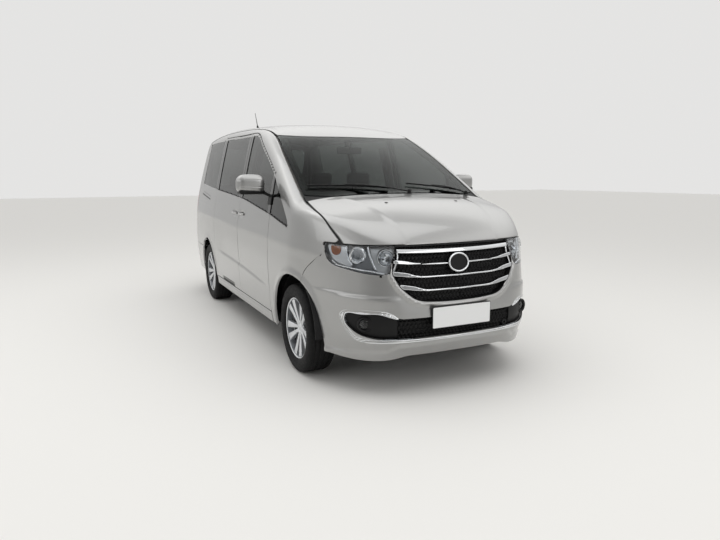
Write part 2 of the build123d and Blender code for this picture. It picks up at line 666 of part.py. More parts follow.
tyre = tyre_shape()
rim = rim_shape()
WHEELS = [("front_left", FRONT_AXLE, True), ("front_right", FRONT_AXLE, False),
          ("rear_left", REAR_AXLE, True), ("rear_right", REAR_AXLE, False)]
for place, x, left in WHEELS:
    write("tyre_" + place, wheel_at(tyre, x, WHEEL_Y, left))
    write("rim_" + place, wheel_at(rim, x, WHEEL_Y, left))

# ---------------------------------------------------------------- running gear
TOW_Y = 415.0
TOW_Z = 410.0
LOWER_ARM_TOP = 216.0
UPPER_ARM_FOOT = 462.0
SPRING_SEAT = 784.0


def knuckle_shape():
    """The upright that the front wheel turns on, with its hub and steering arm."""
    upright = block(FRONT_AXLE - 32, FRONT_AXLE + 32, KINGPIN_Y - 24, KINGPIN_Y + 24, 222, 456)
    hub = rod((FRONT_AXLE, KINGPIN_Y, HUB_Z), (FRONT_AXLE, HUB_FACE, HUB_Z), 52)
    disc = rod((FRONT_AXLE, KINGPIN_Y + 26, HUB_Z), (FRONT_AXLE, KINGPIN_Y + 48, HUB_Z), 104)
    low, high = LOWER_ARM_TOP + 0.3, UPPER_ARM_FOOT - 0.3
    kingpin = rod((FRONT_AXLE, KINGPIN_Y, low), (FRONT_AXLE, KINGPIN_Y, high), 16)
    arm = block(FRONT_AXLE - 150, FRONT_AXLE - 20, KINGPIN_Y - 24, KINGPIN_Y + 4, 250, 280)
    return upright + hub + disc + arm + kingpin


knuckle = knuckle_shape()
rail = block(ahead(-425), ahead(700), 390, 440, 340, 440)
rail = rail + block(ahead(640), ahead(700), 390, 440, 300, 440)
lower_arm = block(FRONT_AXLE - 45, FRONT_AXLE + 45, 380, KINGPIN_Y + 26, LOWER_ARM_TOP - 20, LOWER_ARM_TOP)
lower_arm = lower_arm + block(FRONT_AXLE - 60, FRONT_AXLE + 60, 380, 440, LOWER_ARM_TOP - 20, 345)
upper_arm = block(FRONT_AXLE - 34, FRONT_AXLE + 34, 420, KINGPIN_Y + 24, UPPER_ARM_FOOT, UPPER_ARM_FOOT + 16)
upper_arm = upper_arm + block(FRONT_AXLE - 60, FRONT_AXLE + 60, 400, 440, 436, SPRING_SEAT + 16)
tower = block(FRONT_AXLE - 70, FRONT_AXLE + 70, 420, 590, SPRING_SEAT, SPRING_SEAT + 16)
cross = block(ahead(640), ahead(700), -440, 440, 300, 350)
cross = cross + block(FRONT_AXLE - 60, FRONT_AXLE + 60, -440, 440, 230, 300)
spring = rod((FRONT_AXLE, 520, UPPER_ARM_FOOT + 16), (FRONT_AXLE, 520, SPRING_SEAT), 46)
subframe = Compound(pair(rail + lower_arm + upper_arm + tower))
subframe = subframe + cross
tow_socket = rod((ahead(690), TOW_Y, TOW_Z), (ahead(800), TOW_Y, TOW_Z), 20)
subframe = subframe + tow_socket - rod((ahead(740), TOW_Y, TOW_Z), (ahead(810), TOW_Y, TOW_Z), 9)
intake_mesh = intake_mesh - rod((ahead(700), TOW_Y, TOW_Z), (ahead(900), TOW_Y, TOW_Z), 24)
engine = block(ahead(110), ahead(560), -360, 360, 352, 900)
for side in (1, -1):
    for place in (190, 430):
        low, high = sorted((side * 355, side * 390))
        engine = engine + block(ahead(place), ahead(place + 60), low, high, 370, 430)
axle_beam = rod((REAR_AXLE, -HUB_FACE + 30, HUB_Z), (REAR_AXLE, HUB_FACE - 30, HUB_Z), 38)
BEAM_Y = 520.0
for side in (1, -1):
    stub = rod((REAR_AXLE, side * (HUB_FACE - 40), HUB_Z), (REAR_AXLE, side * HUB_FACE, HUB_Z), 52)
    y = side * BEAM_Y
    trailing = block(REAR_AXLE - 30, REAR_STEP - 2, y - 25, y + 25, HUB_Z - 20, HUB_Z + 25)
    foot = block(REAR_STEP - 30, REAR_STEP + 60, y - 40, y + 40, HUB_Z - 20, FLOOR_HEIGHT)
    axle_beam = axle_beam + stub + trailing + foot
axle_beam = axle_beam - floor_pan
rear_liner = rear_liner - axle_beam
rear_spring = rod((REAR_AXLE, BEAM_Y, HUB_Z + 38), (REAR_AXLE, BEAM_Y, REAR_FLOOR_HEIGHT), 55)
tank = block(DOOR_JOIN - 700, DOOR_JOIN - 60, -620, -60, 215, FLOOR_HEIGHT)
PIPE_Y = 180.0
PIPE_Z = 290.0
BOX_Y = 300.0
BOX_Z = 345.0
box_pipe = rod((REAR_AXLE - 760, BOX_Y, BOX_Z), (REAR_AXLE - 260, BOX_Y, BOX_Z), 95)
tail_pipe = rod((TAIL_X + 160, BOX_Y, BOX_Z), (REAR_AXLE - 700, BOX_Y, BOX_Z), 24)
link = rod((REAR_AXLE - 300, PIPE_Y, PIPE_Z), (REAR_AXLE - 300, BOX_Y, BOX_Z), 26)
pipe = rod((ahead(-380), PIPE_Y, PIPE_Z), (REAR_AXLE - 290, PIPE_Y, PIPE_Z), 26)
front_hanger = block(ahead(-900), ahead(-880), PIPE_Y - 12, PIPE_Y + 12, PIPE_Z, FLOOR_HEIGHT)
box_hanger = block(REAR_AXLE - 520, REAR_AXLE - 500, BOX_Y - 12, BOX_Y + 12, BOX_Z, REAR_FLOOR_HEIGHT)
exhaust = (pipe + link + box_pipe + tail_pipe + front_hanger + box_hanger) - axle_beam

# ---------------------------------------------------------------- cabin
dash = block(ahead(-450), ahead(-150), -715, 715, BULKHEAD_TOP, 1160)
dash = dash + block(ahead(-560), ahead(-450), -700, 700, 900, 1120)
inner_top = Solid.extrude(top_patch(900, 1620, 800, TOP_WALL + 12), Vector(0, 0, -1500))
dash = dash & inner_top


def seat(x, y, z, width, depth=500.0, height=640.0, lean=110.0):
    """A cushion and a leaning back that carries its headrest on two posts, each a closed solid."""
    cushion = Pos(x, y, z + 65) * Box(depth, width, 130)
    cushion = fillet(cushion.edges(), 40)
    foot = x - depth / 2
    low = z + 60
    top = low + height
    side = y - width / 2
    plan = [Vector(foot, side, low), Vector(foot - 120, side, low), Vector(foot - 98 - lean, side, top),
            Vector(foot - 18 - lean, side, top)]
    back = Solid.extrude(Face(Wire.make_polygon(plan, close=True)), Vector(0, width, 0))
    back = fillet(back.edges(), 34)
    rest_x = foot - 60 - lean
    rest = Pos(rest_x, y, top + 96) * Box(90, 250, 150)
    rest = fillet(rest.edges(), 36)
    for shift in (-62, 62):
        back = back + rod((rest_x, y + shift, top - 40), (rest_x, y + shift, top + 60), 7)
    return [cushion, back + rest]


SEAT_Z = 600.0
FRONT_SEAT_X = ahead(-1080)
MIDDLE_SEAT_X = ahead(-2080)
REAR_SEAT_X = ahead(-2960)
front_seats = [piece for y in (365, -365) for piece in seat(FRONT_SEAT_X, y, SEAT_Z, 500)]
middle_seats = [piece for y in (370, -370) for piece in seat(MIDDLE_SEAT_X, y, SEAT_Z, 500)]
bench = [piece for y in (390, 0, -390) for piece in seat(REAR_SEAT_X, y, SEAT_Z + 20, 380, 470, 600)]


def seat_base(x, y, z, low, width=380.0):
    """A box frame under a cushion and a bracket up behind it."""
    under = block(x - 220, x + 200, y - width / 2, y + width / 2, low, z)
    hollow = block(x - 190, x + 170, y - width, y + width, low + 20, z - 40)
    return under - hollow


low_floor = FLOOR_HEIGHT + FLOOR_PLATE
bases = [seat_base(FRONT_SEAT_X, y, SEAT_Z, low_floor) for y in (365, -365)]
bases += [seat_base(MIDDLE_SEAT_X, y, SEAT_Z, low_floor) for y in (370, -370)]
bases.append(seat_base(REAR_SEAT_X, 0, SEAT_Z + 20, REAR_FLOOR_HEIGHT + FLOOR_PLATE, 1050))

# ---------------------------------------------------------------- steering wheel
WHEEL_CENTRE = Vector(ahead(-690), 365, 1085)
COLUMN = Vector(-0.9, 0, 0.436)
SHAFT_RADIUS = 20.0
column_plane = Plane(origin=WHEEL_CENTRE, x_dir=(0, 1, 0), z_dir=COLUMN)
ring_shape = Solid.make_torus(178, 15, column_plane)
hub_shape = Solid.make_cylinder(58, 40, column_plane.offset(-34))
shaft = Solid.make_cylinder(SHAFT_RADIUS, 150, column_plane.offset(-180))
steering = ring_shape + hub_shape + shaft
for turn in (0, 180, 270):
    bar = column_plane.location * Rot(0, 0, turn) * Pos(110, 0, -12) * Box(140, 34, 14)
    steering = steering + bar
column_hole = Solid.make_cylinder(SHAFT_RADIUS + 0.3, 400, column_plane.offset(-420))
dash = dash - column_hole

# ---------------------------------------------------------------- mirrors, wipers, aerial, plates
MIRROR_X = ahead(-600)
housing = Pos(MIRROR_X + 5, 1017, 1370) * Box(120, 226, 132)
housing = fillet(housing.edges().filter_by(Axis.Y), 46)
housing = fillet(housing.edges(), 24)
mirror_arm = rod((MIRROR_X + 20, 820, 1262), (MIRROR_X + 20, 960, 1318), 20)
mirror_arm = mirror_arm + block(MIRROR_X + 10, MIRROR_X + 34, 812, 862, 1216, 1290)
door_skin = Compound(big(front_door))
side_mirror = housing + (mirror_arm - door_skin - front_glass)
side_mirror = Compound(big(side_mirror, 4e5))


HANDLE_Z = 1092.0
FRONT_HANDLE_X = ahead(-1395)
SLIDING_HANDLE_X = ahead(-1640)


def handle(x):
    """A bar handle that stands out from the door's skin on two feet."""
    bar = fillet((Pos(x, HALF - 8, HANDLE_Z) * Box(190, 12, 26)).edges(), 5)
    feet = [Pos(x + shift, HALF - 24, HANDLE_Z) * Box(26, 30, 20) for shift in (-76, 76)]
    return bar + feet[0] + feet[1]


front_door = Compound(big(front_door)) + handle(FRONT_HANDLE_X)
sliding_door = Compound(big(sliding_door)) + handle(SLIDING_HANDLE_X)


def on_screen(u, y, lift):
    """A point above the windscreen."""
    x = ahead(u)
    z = 400 + float(find((np.array([x]), np.array([y]), np.array([400.0])), (0, 0, 1), 0, 1700, top_only)[0])
    return Vector(x, y, z + lift)


def wiper(pivot, low, high):
    """A spindle in the cowl, an arm and a blade; each place is (ahead of the axle, y)."""
    ends = [on_screen(*low, 11), on_screen(*high, 11)]
    middle = (ends[0] + ends[1]) / 2 + Vector(0, 0, 3)
    spindle = rod(on_screen(*pivot, -8), on_screen(*pivot, 20), 11)
    return spindle + rod(on_screen(*pivot, 16), middle, 8) + rod(*ends, 7) - cowl - screen


wiper_right = wiper((2, 90), (-60, -60), (-178, -700))
wiper_left = wiper((-34, 655), (-75, 630), (-120, 130))
aerial_x = ahead(-1900)
aerial_y = -560.0
roof_z = on_screen(-1900, aerial_y, 0).Z
aerial = rod((aerial_x, aerial_y, roof_z - 2), (aerial_x, aerial_y, roof_z + 16), 14) - roof
aerial = aerial + rod((aerial_x, aerial_y, roof_z + 8), (aerial_x - 80, aerial_y, roof_z + 150), 3.5)
plate_x = NOSE_X - 18
front_plate = block(plate_x, plate_x + 12, -235, 235, 448, 600)
plate_back = block(plate_x - 60, plate_x, -170, 170, 470, 580) - nose_wall
rear_plate = block(TAIL_X - 2, TAIL_X + 60, -235, 235, 400, 552) - tail_solid

write("front_fenders", *pair(Compound(big(front_fender))))
write("front_door_left", front_door)
write("front_door_right", mirrored(front_door))
write("sliding_doors", *pair(sliding_door))
write("body_sides", *pair(Compound(big(body_side))))
write("front_door_glass_left", front_glass)
write("front_door_glass_right", mirrored(front_glass))
write("sliding_door_glass", *pair(sliding_glass))
write("quarter_glass", *pair(quarter_glass), *pair(rear_glass + tail_pane))
write("pillars_and_sills", *pair(sill))
write("floor_pan", floor_pan)
write("wheelhouse_liners", *pair(front_liner), *pair(rear_liner))
write("knuckle_left", knuckle)
write("knuckle_right", mirrored(knuckle))
write("front_subframe", subframe)
write("suspension_springs", *pair(spring), *pair(rear_spring))
write("engine_block", engine)
write("rear_axle_beam", axle_beam)
write("fuel_tank", tank)
write("exhaust", exhaust)
write("dashboard", dash)
write("front_seats", *front_seats)
write("middle_seats", *middle_seats)
write("rear_bench", *bench)
write("seat_frames", *bases)
write("steering_wheel", steering)
write("mirror_left", side_mirror)
write("mirror_right", mirrored(side_mirror))
write("wipers", wiper_left, wiper_right)
write("aerial", aerial)
write("number_plates", front_plate + plate_back, rear_plate)
write("front_bumper", Compound(big(bumper)))
write("headlamps", *pair(headlamp))
write("grille_meshes", grille_mesh, intake_mesh)
write("grille_slats", *slats)
write("bonnet", bonnet)
write("windscreen", screen)
write("cowl_panel", cowl)
write("roof_panel", Compound(big(roof)))
write("tailgate", tailgate)
write("tailgate_glass", hatch_glass)
write("rear_bumper", Compound(big(rear_bumper)))
write("tail_lamps", *pair(tail_lamp))
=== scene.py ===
"""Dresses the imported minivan: body panels, glass, lamps, wheels, cabin, floor, light and camera.

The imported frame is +X forward, +Y to the vehicle's left, +Z up. Shapes are worked out here in
millimetres and set into meshes in metres.
"""
import math
import bpy
import numpy as np
from mathutils import Matrix


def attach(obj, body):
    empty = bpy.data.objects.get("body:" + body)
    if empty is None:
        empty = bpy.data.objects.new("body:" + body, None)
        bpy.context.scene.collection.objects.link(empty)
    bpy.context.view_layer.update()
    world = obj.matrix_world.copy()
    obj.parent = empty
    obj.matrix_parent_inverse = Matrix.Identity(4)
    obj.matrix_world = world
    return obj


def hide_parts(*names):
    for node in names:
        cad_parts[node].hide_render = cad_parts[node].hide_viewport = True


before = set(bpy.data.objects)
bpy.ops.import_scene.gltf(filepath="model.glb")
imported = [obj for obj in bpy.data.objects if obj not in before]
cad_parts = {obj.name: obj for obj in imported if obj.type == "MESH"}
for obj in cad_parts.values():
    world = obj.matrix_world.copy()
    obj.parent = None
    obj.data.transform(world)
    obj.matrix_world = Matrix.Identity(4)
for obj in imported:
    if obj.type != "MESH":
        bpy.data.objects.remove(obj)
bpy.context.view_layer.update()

# ---------------------------------------------------------------- main sizes, mm
HALF = 911.0
HEIGHT = 1960.0
NOSE_X = 2475.0
TAIL_X = -2475.0
FRONT_AXLE = 1595.0
REAR_AXLE = -1355.0
ARCH = 405.0
HUB_Z = 326.0
TYRE_RADIUS = 330.0
TYRE_WIDTH = 214.0
WHEEL_Y = 778.0
HATCH_SEAM = TAIL_X + 405
BONNET_EDGE = 996.0
SILL_TOP = 343.0
SEAM_GAP = 2.6
EDGE_ROUND = 3.0
PANEL_WALL = 14.0
GLASS_INSET = 5.0
# along the side, counted from the front axle: the doors' seams
DOOR_FRONT = -530.0
DOOR_SPLIT = -1500.0
SLIDER_REAR = -2540.0


# ---------------------------------------------------------------- the form of the body
def curve(knots):
    """Natural cubic spline through (place, value) pairs, straight beyond its ends."""
    place, value = np.array(knots, float).T
    count = len(place)
    step = np.diff(place)
    matrix = np.eye(count)
    right = np.zeros(count)
    inner = np.arange(1, count - 1)
    matrix[inner, inner - 1] = step[:-1]
    matrix[inner, inner] = 2 * (step[:-1] + step[1:])
    matrix[inner, inner + 1] = step[1:]
    slope = np.diff(value) / step
    right[inner] = 6 * np.diff(slope)
    bend = np.linalg.solve(matrix, right)
    first = slope[0] - step[0] * bend[1] / 6
    last = slope[-1] + step[-1] * bend[-2] / 6

    def value_at(t):
        t = np.asarray(t, float)
        i = np.clip(np.searchsorted(place, t) - 1, 0, count - 2)
        a = (place[i + 1] - t) / step[i]
        b = 1 - a
        cubic = ((a**3 - a) * bend[i] + (b**3 - b) * bend[i + 1]) * step[i] ** 2 / 6
        inside = a * value[i] + b * value[i + 1] + cubic
        before = value[0] + first * (t - place[0])
        after = value[-1] + last * (t - place[-1])
        return np.where(t < place[0], before, np.where(t > place[-1], after, inside))

    return value_at


FLANK = curve([(200, HALF - 49), (300, HALF - 29), (480, HALF - 10), (700, HALF), (900, HALF - 3),
               (1060, HALF - 18), (1250, HALF - 49), (1500, HALF - 101), (1800, HALF - 176),
               (HEIGHT - 10, HALF - 217)])
NOSE = curve([(180, 110), (290, 72), (380, 32), (470, 18), (600, 30), (750, 52), (900, 72), (1000, 98),
              (1100, 150)])
TAIL = curve([(250, 90), (380, 40), (520, 8), (650, 5), (800, 30), (1000, 45), (1200, 75), (1500, 190),
              (1800, 315), (1900, 360)])
BONNET = curve([(90, 1290), (250, 1268), (380, 1246), (500, 1208), (600, 1162), (700, 1102), (760, 1052),
                (810, 990)])
SCREEN = curve([(-1250, 1950), (-1000, 1830), (-600, 1632), (-200, 1412), (0, 1300), (200, 1186)])
ROOF = curve([(-4000, HEIGHT - 92), (-3700, HEIGHT - 48), (-3300, HEIGHT - 16), (-2700, HEIGHT),
              (-2100, HEIGHT - 3), (-1600, HEIGHT - 22), (-1250, HEIGHT - 54), (-1000, HEIGHT - 92),
              (-800, HEIGHT - 134)])
SEAM = curve([(-4200, 655), (-3900, 676), (-3500, 685), (-3000, 687), (-2500, 688), (-2000, 688),
              (-1600, 684), (-1250, 668), (-1009, 654), (-850, 668), (-700, 693), (-450, 721), (-250, 740),
              (-40, 757), (90, 768), (260, 777), (420, 762), (520, 735), (760, 660)])
BELT = curve([(-3470, 1352), (-2940, 1320), (-2390, 1290), (-1730, 1255), (-1290, 1224), (-910, 1182),
              (-490, 1133), (-225, 1092), (-44, 1067)])
CANT = curve([(-3440, 1818), (-2570, 1816), (-1500, 1803), (-1250, 1775), (-1095, 1700), (-800, 1560),
              (-520, 1410), (-44, 1067)])


def round_max(a, b, reach):
    """The larger of two fields, with the corner between them rounded over the reach."""
    near = np.maximum(reach - np.abs(a - b), 0) / reach
    return np.maximum(a, b) + near**3 * reach / 6


def body_field(x, y, z, inset=0.0):
    """Below zero inside the body's form: flanks, nose, tail and top, with rounded corners."""
    side = np.abs(y) / 1000
    u = x - FRONT_AXLE
    front = np.maximum(0, (x - 1300) / 1000)
    rear = np.maximum(0, (-700 - x) / 1000)
    flank = np.abs(y) - (FLANK(z) - 45 * front**2 - 20 * rear**2)
    nose = x - (NOSE_X - NOSE(z) - 110 * side**2 - 1250 * side**6)
    tail = TAIL_X + TAIL(z) + 60 * side**2 + 300 * side**6 - x
    crown = np.interp(u, [0, 300, 600, 800], [48, 80, 110, 120])
    bonnet = z - BONNET(u) + crown * (side / 0.78) ** 2.4
    screen = z - SCREEN(u) + np.interp(u, [-1000, 0], [75, 90]) * side**2
    roof = z - ROOF(u) + 110 * side**2.2
    top = -round_max(-bonnet, -round_max(screen, roof, 120), 30)
    around = round_max(flank, nose, 110)
    around = round_max(around, tail, 140)
    return round_max(around, top, 120) + inset


def find(start, way, inset=0.0, reach=1700.0):
    """How far from each start point the form's surface lies along the way, by bisection."""
    shape = np.broadcast(*start, *way).shape
    low = np.zeros(shape)
    high = np.full(shape, reach)
    for _ in range(22):
        mid = (low + high) / 2
        inside = body_field(*(s + w * mid for s, w in zip(start, way)), inset) < 0
        low = np.where(inside, mid, low)
        high = np.where(inside, high, mid)
    return low


# ---------------------------------------------------------------- maps from two parameters to the form
def side_map(x, z, inset=0.0):
    """The left flank over (x, z): y is found outwards from inside the body."""
    return np.stack([x, 200 + find((x, 200 + 0 * x, z), (0, 1, 0), inset), z], -1)


def top_map(x, y, inset=0.0):
    """The top over (x, y): z is found upwards."""
    return np.stack([x, y, 400 + find((x, y, 400 + 0 * x), (0, 0, 1), inset)], -1)


def polar_map(centre, way, level):
    """A map for the nose or tail over (distance round from the middle, z).

    Rays leave the centre at an angle; a table at one level ties the angle to the distance round.
    """
    angle = np.radians(np.linspace(-88, 88, 400))
    reach = find((centre + 0 * angle, 0 * angle, level + 0 * angle), (way * np.cos(angle), np.sin(angle),
                                                                      0 * angle))
    x, y = way * reach * np.cos(angle), reach * np.sin(angle)
    girth = np.concatenate([[0], np.cumsum(np.hypot(np.diff(x), np.diff(y)))])
    girth = girth - np.interp(0, angle, girth)

    def place(w, z, inset=0.0):
        turn = np.interp(w, girth, angle)
        dx, dy = way * np.cos(turn), np.sin(turn)
        r = find((centre + 0 * w, 0 * w, z), (dx, dy, 0 * w), inset)
        return np.stack([centre + r * dx, r * dy, z], -1)

    def round_of(x, y):
        return np.interp(np.arctan2(y, way * (x - centre)), angle, girth)

    def from_front(points):
        """Points given as (y, z), seen from the front, set on the map."""
        y, z = np.array(points, float).T
        low, high = np.full(y.shape, -2200.0), np.full(y.shape, 2200.0)
        for _ in range(40):
            mid = (low + high) / 2
            less = place(mid, z)[:, 1] < y
            low, high = np.where(less, mid, low), np.where(less, high, mid)
        return np.stack([low, z], 1)

    def from_side(points):
        """Points given as (x, z), seen from the left, set on the map."""
        x, z = np.array(points, float).T
        y = side_map(x, z)[:, 1]
        return np.stack([round_of(x, y), z], 1)

    place.from_front = from_front
    place.from_side = from_side
    return place


nose_map = polar_map(1450.0, 1, 550.0)


def hood_map_maker():
    """A map for the bonnet over (distance along from the cowl, y): rays turn about a line inside."""
    angle = np.radians(np.linspace(100, 0, 500))
    cx, cz = 1500.0, 880.0
    reach = find((cx + 0 * angle, 0 * angle, cz + 0 * angle), (np.cos(angle), 0 * angle, np.sin(angle)))
    x, z = reach * np.cos(angle), reach * np.sin(angle)
    along = np.concatenate([[0], np.cumsum(np.hypot(np.diff(x), np.diff(z)))])

    def place(s, y, inset=0.0):
        turn = np.interp(s, along, angle)
        r = find((cx + 0 * s, y, cz + 0 * s), (np.cos(turn), 0 * s, np.sin(turn)), inset)
        return np.stack([cx + r * np.cos(turn), y, cz + r * np.sin(turn)], -1)

    def along_of(x, z):
        return np.interp(-np.arctan2(z - cz, x - cx), -angle, along)

    place.along_of = along_of
    return place


hood_map = hood_map_maker()


def spot(place, u, v, inset=0.0):
    """One point of a map."""
    return place(np.array([float(u)]), np.array([float(v)]), inset)[0]


# ---------------------------------------------------------------- outlines
def smooth(points, count=24):
    """A smooth run through points, as many points along it."""
    points = np.array(points, float)
    if len(points) == 2:
        return points
    t = np.concatenate([[0], np.cumsum(np.hypot(*np.diff(points, axis=0).T))])
    s = np.linspace(0, t[-1], count)
    return np.stack([curve(list(zip(t, points[:, 0])))(s), curve(list(zip(t, points[:, 1])))(s)], 1)


def loop(*runs):
    """A closed outline from runs that follow on."""
    return np.concatenate([smooth(run)[:-1] for run in runs])


def inside(outline):
    """Signed distance to a closed outline, above zero inside it."""
    a = np.asarray(outline, float)
    b = np.roll(a, -1, axis=0)

    def distance(u, v):
        best = np.full(u.shape, 1e18)
        crossings = np.zeros(u.shape, int)
        for (ax, ay), (bx, by) in zip(a, b):
            dx, dy = bx - ax, by - ay
            t = np.clip(((u - ax) * dx + (v - ay) * dy) / (dx * dx + dy * dy + 1e-12), 0, 1)
            best = np.minimum(best, (u - ax - t * dx) ** 2 + (v - ay - t * dy) ** 2)
            cross = (ay > v) != (by > v)
            with np.errstate(divide="ignore", invalid="ignore"):
                crossings += cross & (u < ax + (v - ay) * dx / (by - ay if by != ay else 1e-9))
        return np.where(crossings % 2 == 1, 1, -1) * np.sqrt(best)

    return distance


def circle(cx, cz, radius):
    """A field above zero inside a circle."""
    return lambda u, v: radius - np.hypot(u - cx, v - cz)


def both(*fields):
    """The field of what lies inside all the given ones."""
    return lambda u, v: np.minimum.reduce([f(u, v) for f in fields])


def without(field):
    """The field of what lies outside the given one."""
    return lambda u, v: -field(u, v)


def grown(field, amount):
    """A field whose edge stands further out by the amount."""
    return lambda u, v: field(u, v) + amount


def ahead(u):
    """The x of a place given as so far ahead of the front axle."""
    return FRONT_AXLE + u


# ---------------------------------------------------------------- meshes
def split(uv, tris, level):
    """Cut triangles along the line where level is zero; both sides stay."""
    d = np.where(np.abs(level) < 0.35, 0.0, level)
    sign = np.sign(d).astype(int)
    low, high = sign[tris].min(1), sign[tris].max(1)
    cut = (low < 0) & (high > 0)
    whole, cut = tris[~cut], tris[cut]
    if not len(cut):
        return uv, tris
    edges = np.sort(np.concatenate([cut[:, [0, 1]], cut[:, [1, 2]], cut[:, [2, 0]]]), axis=1)
    edges = np.unique(edges[sign[edges[:, 0]] * sign[edges[:, 1]] < 0], axis=0)
    da, db = d[edges[:, 0]], d[edges[:, 1]]
    t = (da / (da - db))[:, None]
    fresh = uv[edges[:, 0]] * (1 - t) + uv[edges[:, 1]] * t
    count = len(uv)
    key = edges[:, 0].astype(np.int64) * count + edges[:, 1]

    def on_edge(a, b):
        pair = np.minimum(a, b).astype(np.int64) * count + np.maximum(a, b)
        return count + np.searchsorted(key, pair)

    def turned(rows, first):
        return np.stack([rows[np.arange(len(rows)), (first + k) % 3] for k in range(3)], 1)

    zeros = (sign[cut] == 0).sum(1)
    one = cut[zeros == 1]
    one = turned(one, (sign[one] == 0).argmax(1))
    mid = on_edge(one[:, 1], one[:, 2])
    parts = [whole, np.stack([one[:, 0], one[:, 1], mid], 1), np.stack([one[:, 0], mid, one[:, 2]], 1)]
    two = cut[zeros == 0]
    lonely = np.where(sign[two].sum(1) > 0, -1, 1)[:, None]
    two = turned(two, (sign[two] == lonely).argmax(1))
    ab, ac = on_edge(two[:, 0], two[:, 1]), on_edge(two[:, 0], two[:, 2])
    parts += [np.stack([two[:, 0], ab, ac], 1), np.stack([ab, two[:, 1], two[:, 2]], 1),
              np.stack([ab, two[:, 2], ac], 1)]
    return np.concatenate([uv, fresh]), np.concatenate(parts)


def unit(v):
    """Each vector at a length of one."""
    return v / np.maximum(np.linalg.norm(v, axis=-1, keepdims=True), 1e-12)


def sheet(place, field, u0, u1, v0, v1, cell, levels=(), wave=None, inset=0.0, rounding=EDGE_ROUND):
    """A trimmed patch of the form: points, normals, edge directions and triangles, in millimetres.

    A grid over (u, v) is cut where the field is zero, and near its edge the patch falls away in a
    quarter round. The wave moves it along its normal.
    """
    nu, nv = int((u1 - u0) / cell) + 2, int((v1 - v0) / cell) + 2
    gu, gv = np.meshgrid(np.linspace(u0, u1, nu), np.linspace(v0, v1, nv), indexing="ij")
    uv = np.stack([gu.ravel(), gv.ravel()], 1)
    i = (np.arange(nu - 1)[:, None] * nv + np.arange(nv - 1)).ravel()
    tris = np.concatenate([np.stack([i, i + nv, i + nv + 1], 1), np.stack([i, i + nv + 1, i + 1], 1)])
    depth = field(uv[:, 0], uv[:, 1])
    near = depth[tris].max(1) > -cell
    tris = tris[near]
    for line in levels:
        uv, tris = split(uv, tris, line(uv[:, 0], uv[:, 1]))
    for share in (0.0, 0.3, 1.0):
        level = field(uv[:, 0], uv[:, 1]) - share * rounding
        uv, tris = split(uv, tris, level)
        if share == 0.0:
            depth = field(uv[:, 0], uv[:, 1])
            tris = tris[(depth[tris].min(1) > -0.36) & (depth[tris].max(1) > 0.36)]
        if rounding <= 0:
            break
    used, tris = np.unique(tris, return_inverse=True)
    uv, tris = uv[used], tris.reshape(-1, 3)
    u, v = uv.T

    def slope(surface, u, v):
        """The unit normal of a surface over (u, v), from differences to either side."""
        e = 2.0
        return unit(np.cross(surface(u + e, v) - surface(u - e, v), surface(u, v + e) - surface(u, v - e)))

    def flat(u, v):
        return place(u, v, inset)

    def lifted(u, v):
        if wave is None:
            return flat(u, v)
        return flat(u, v) + slope(flat, u, v) * (wave(u, v) * turn)[..., None]

    raw = flat(u, v)
    spine = np.stack([np.clip(raw[:, 0], -1500, 1500), 0 * u, 700 + 0 * u], 1)
    turn = 1.0 if (slope(flat, u, v) * unit(raw - spine)).sum() > 0 else -1.0
    points = lifted(u, v)
    normal = slope(lifted, u, v) * turn
    depth = np.maximum(field(u, v), 0)
    edge = np.zeros_like(points)
    rim = depth < max(rounding, 0.5) * 1.2
    ru, rv = u[rim], v[rim]
    gu = field(ru + 0.5, rv) - field(ru - 0.5, rv)
    gv = field(ru, rv + 0.5) - field(ru, rv - 0.5)
    size = np.maximum(np.hypot(gu, gv), 1e-9)
    edge[rim] = unit(points[rim] - place(ru + gu / size, rv + gv / size, inset))
    bent = normal
    if rounding > 0:
        sine = 0.98 * np.clip(1 - depth / rounding, 0, 1)
        cosine = np.sqrt(1 - sine**2)
        points = points - normal * (rounding * (1 - cosine))[:, None]
        bent = unit(normal * cosine[:, None] + edge * sine[:, None])
    return dict(points=points, normal=normal, bent=bent, edge=edge, tris=tris if turn > 0 else tris[:, ::-1])


def thick(patch, wall):
    """A closed wall from a patch: outer skin, inner skin and the rim between, with loop normals."""
    points, tris = patch["points"], patch["tris"]
    count = len(points)
    pairs = np.concatenate([tris[:, [0, 1]], tris[:, [1, 2]], tris[:, [2, 0]]])
    keys = np.sort(pairs, axis=1)
    _, first, uses = np.unique(keys, axis=0, return_index=True, return_counts=True)
    border = pairs[first[uses == 1]]
    a, b = border[:, 0], border[:, 1]
    rims = np.concatenate([np.stack([b, a, a + count], 1), np.stack([b, a + count, b + count], 1)])
    inner = tris[:, ::-1] + count
    verts = np.concatenate([points, points - patch["normal"] * wall])
    faces = np.concatenate([tris, inner, rims])
    edge = np.concatenate([patch["edge"], patch["edge"]])
    normals = np.concatenate([patch["bent"][tris], -patch["normal"][inner - count], edge[rims]])
    return verts, faces, normals


def panel(place, field, u0, u1, v0, v1, cell, wall, **more):
    """A closed wall of the form: the patch that sheet cuts, thickened inwards."""
    return thick(sheet(place, field, u0, u1, v0, v1, cell, **more), wall)


def mirrored(part):
    """A part's mirror image on the other side of the car."""
    verts, faces, normals = part
    flip = np.array([1, -1, 1])
    return verts * flip, faces[:, ::-1], (normals * flip)[:, ::-1]


def joined(parts):
    """Several parts as one."""
    verts, faces, normals, at = [], [], [], 0
    for v, f, n in parts:
        verts.append(v)
        faces.append(f + at)
        normals.append(n)
        at += len(v)
    return np.concatenate(verts), np.concatenate(faces), np.concatenate(normals)


def two(part):
    """A part and its mirror image as one."""
    return joined([part, mirrored(part)])


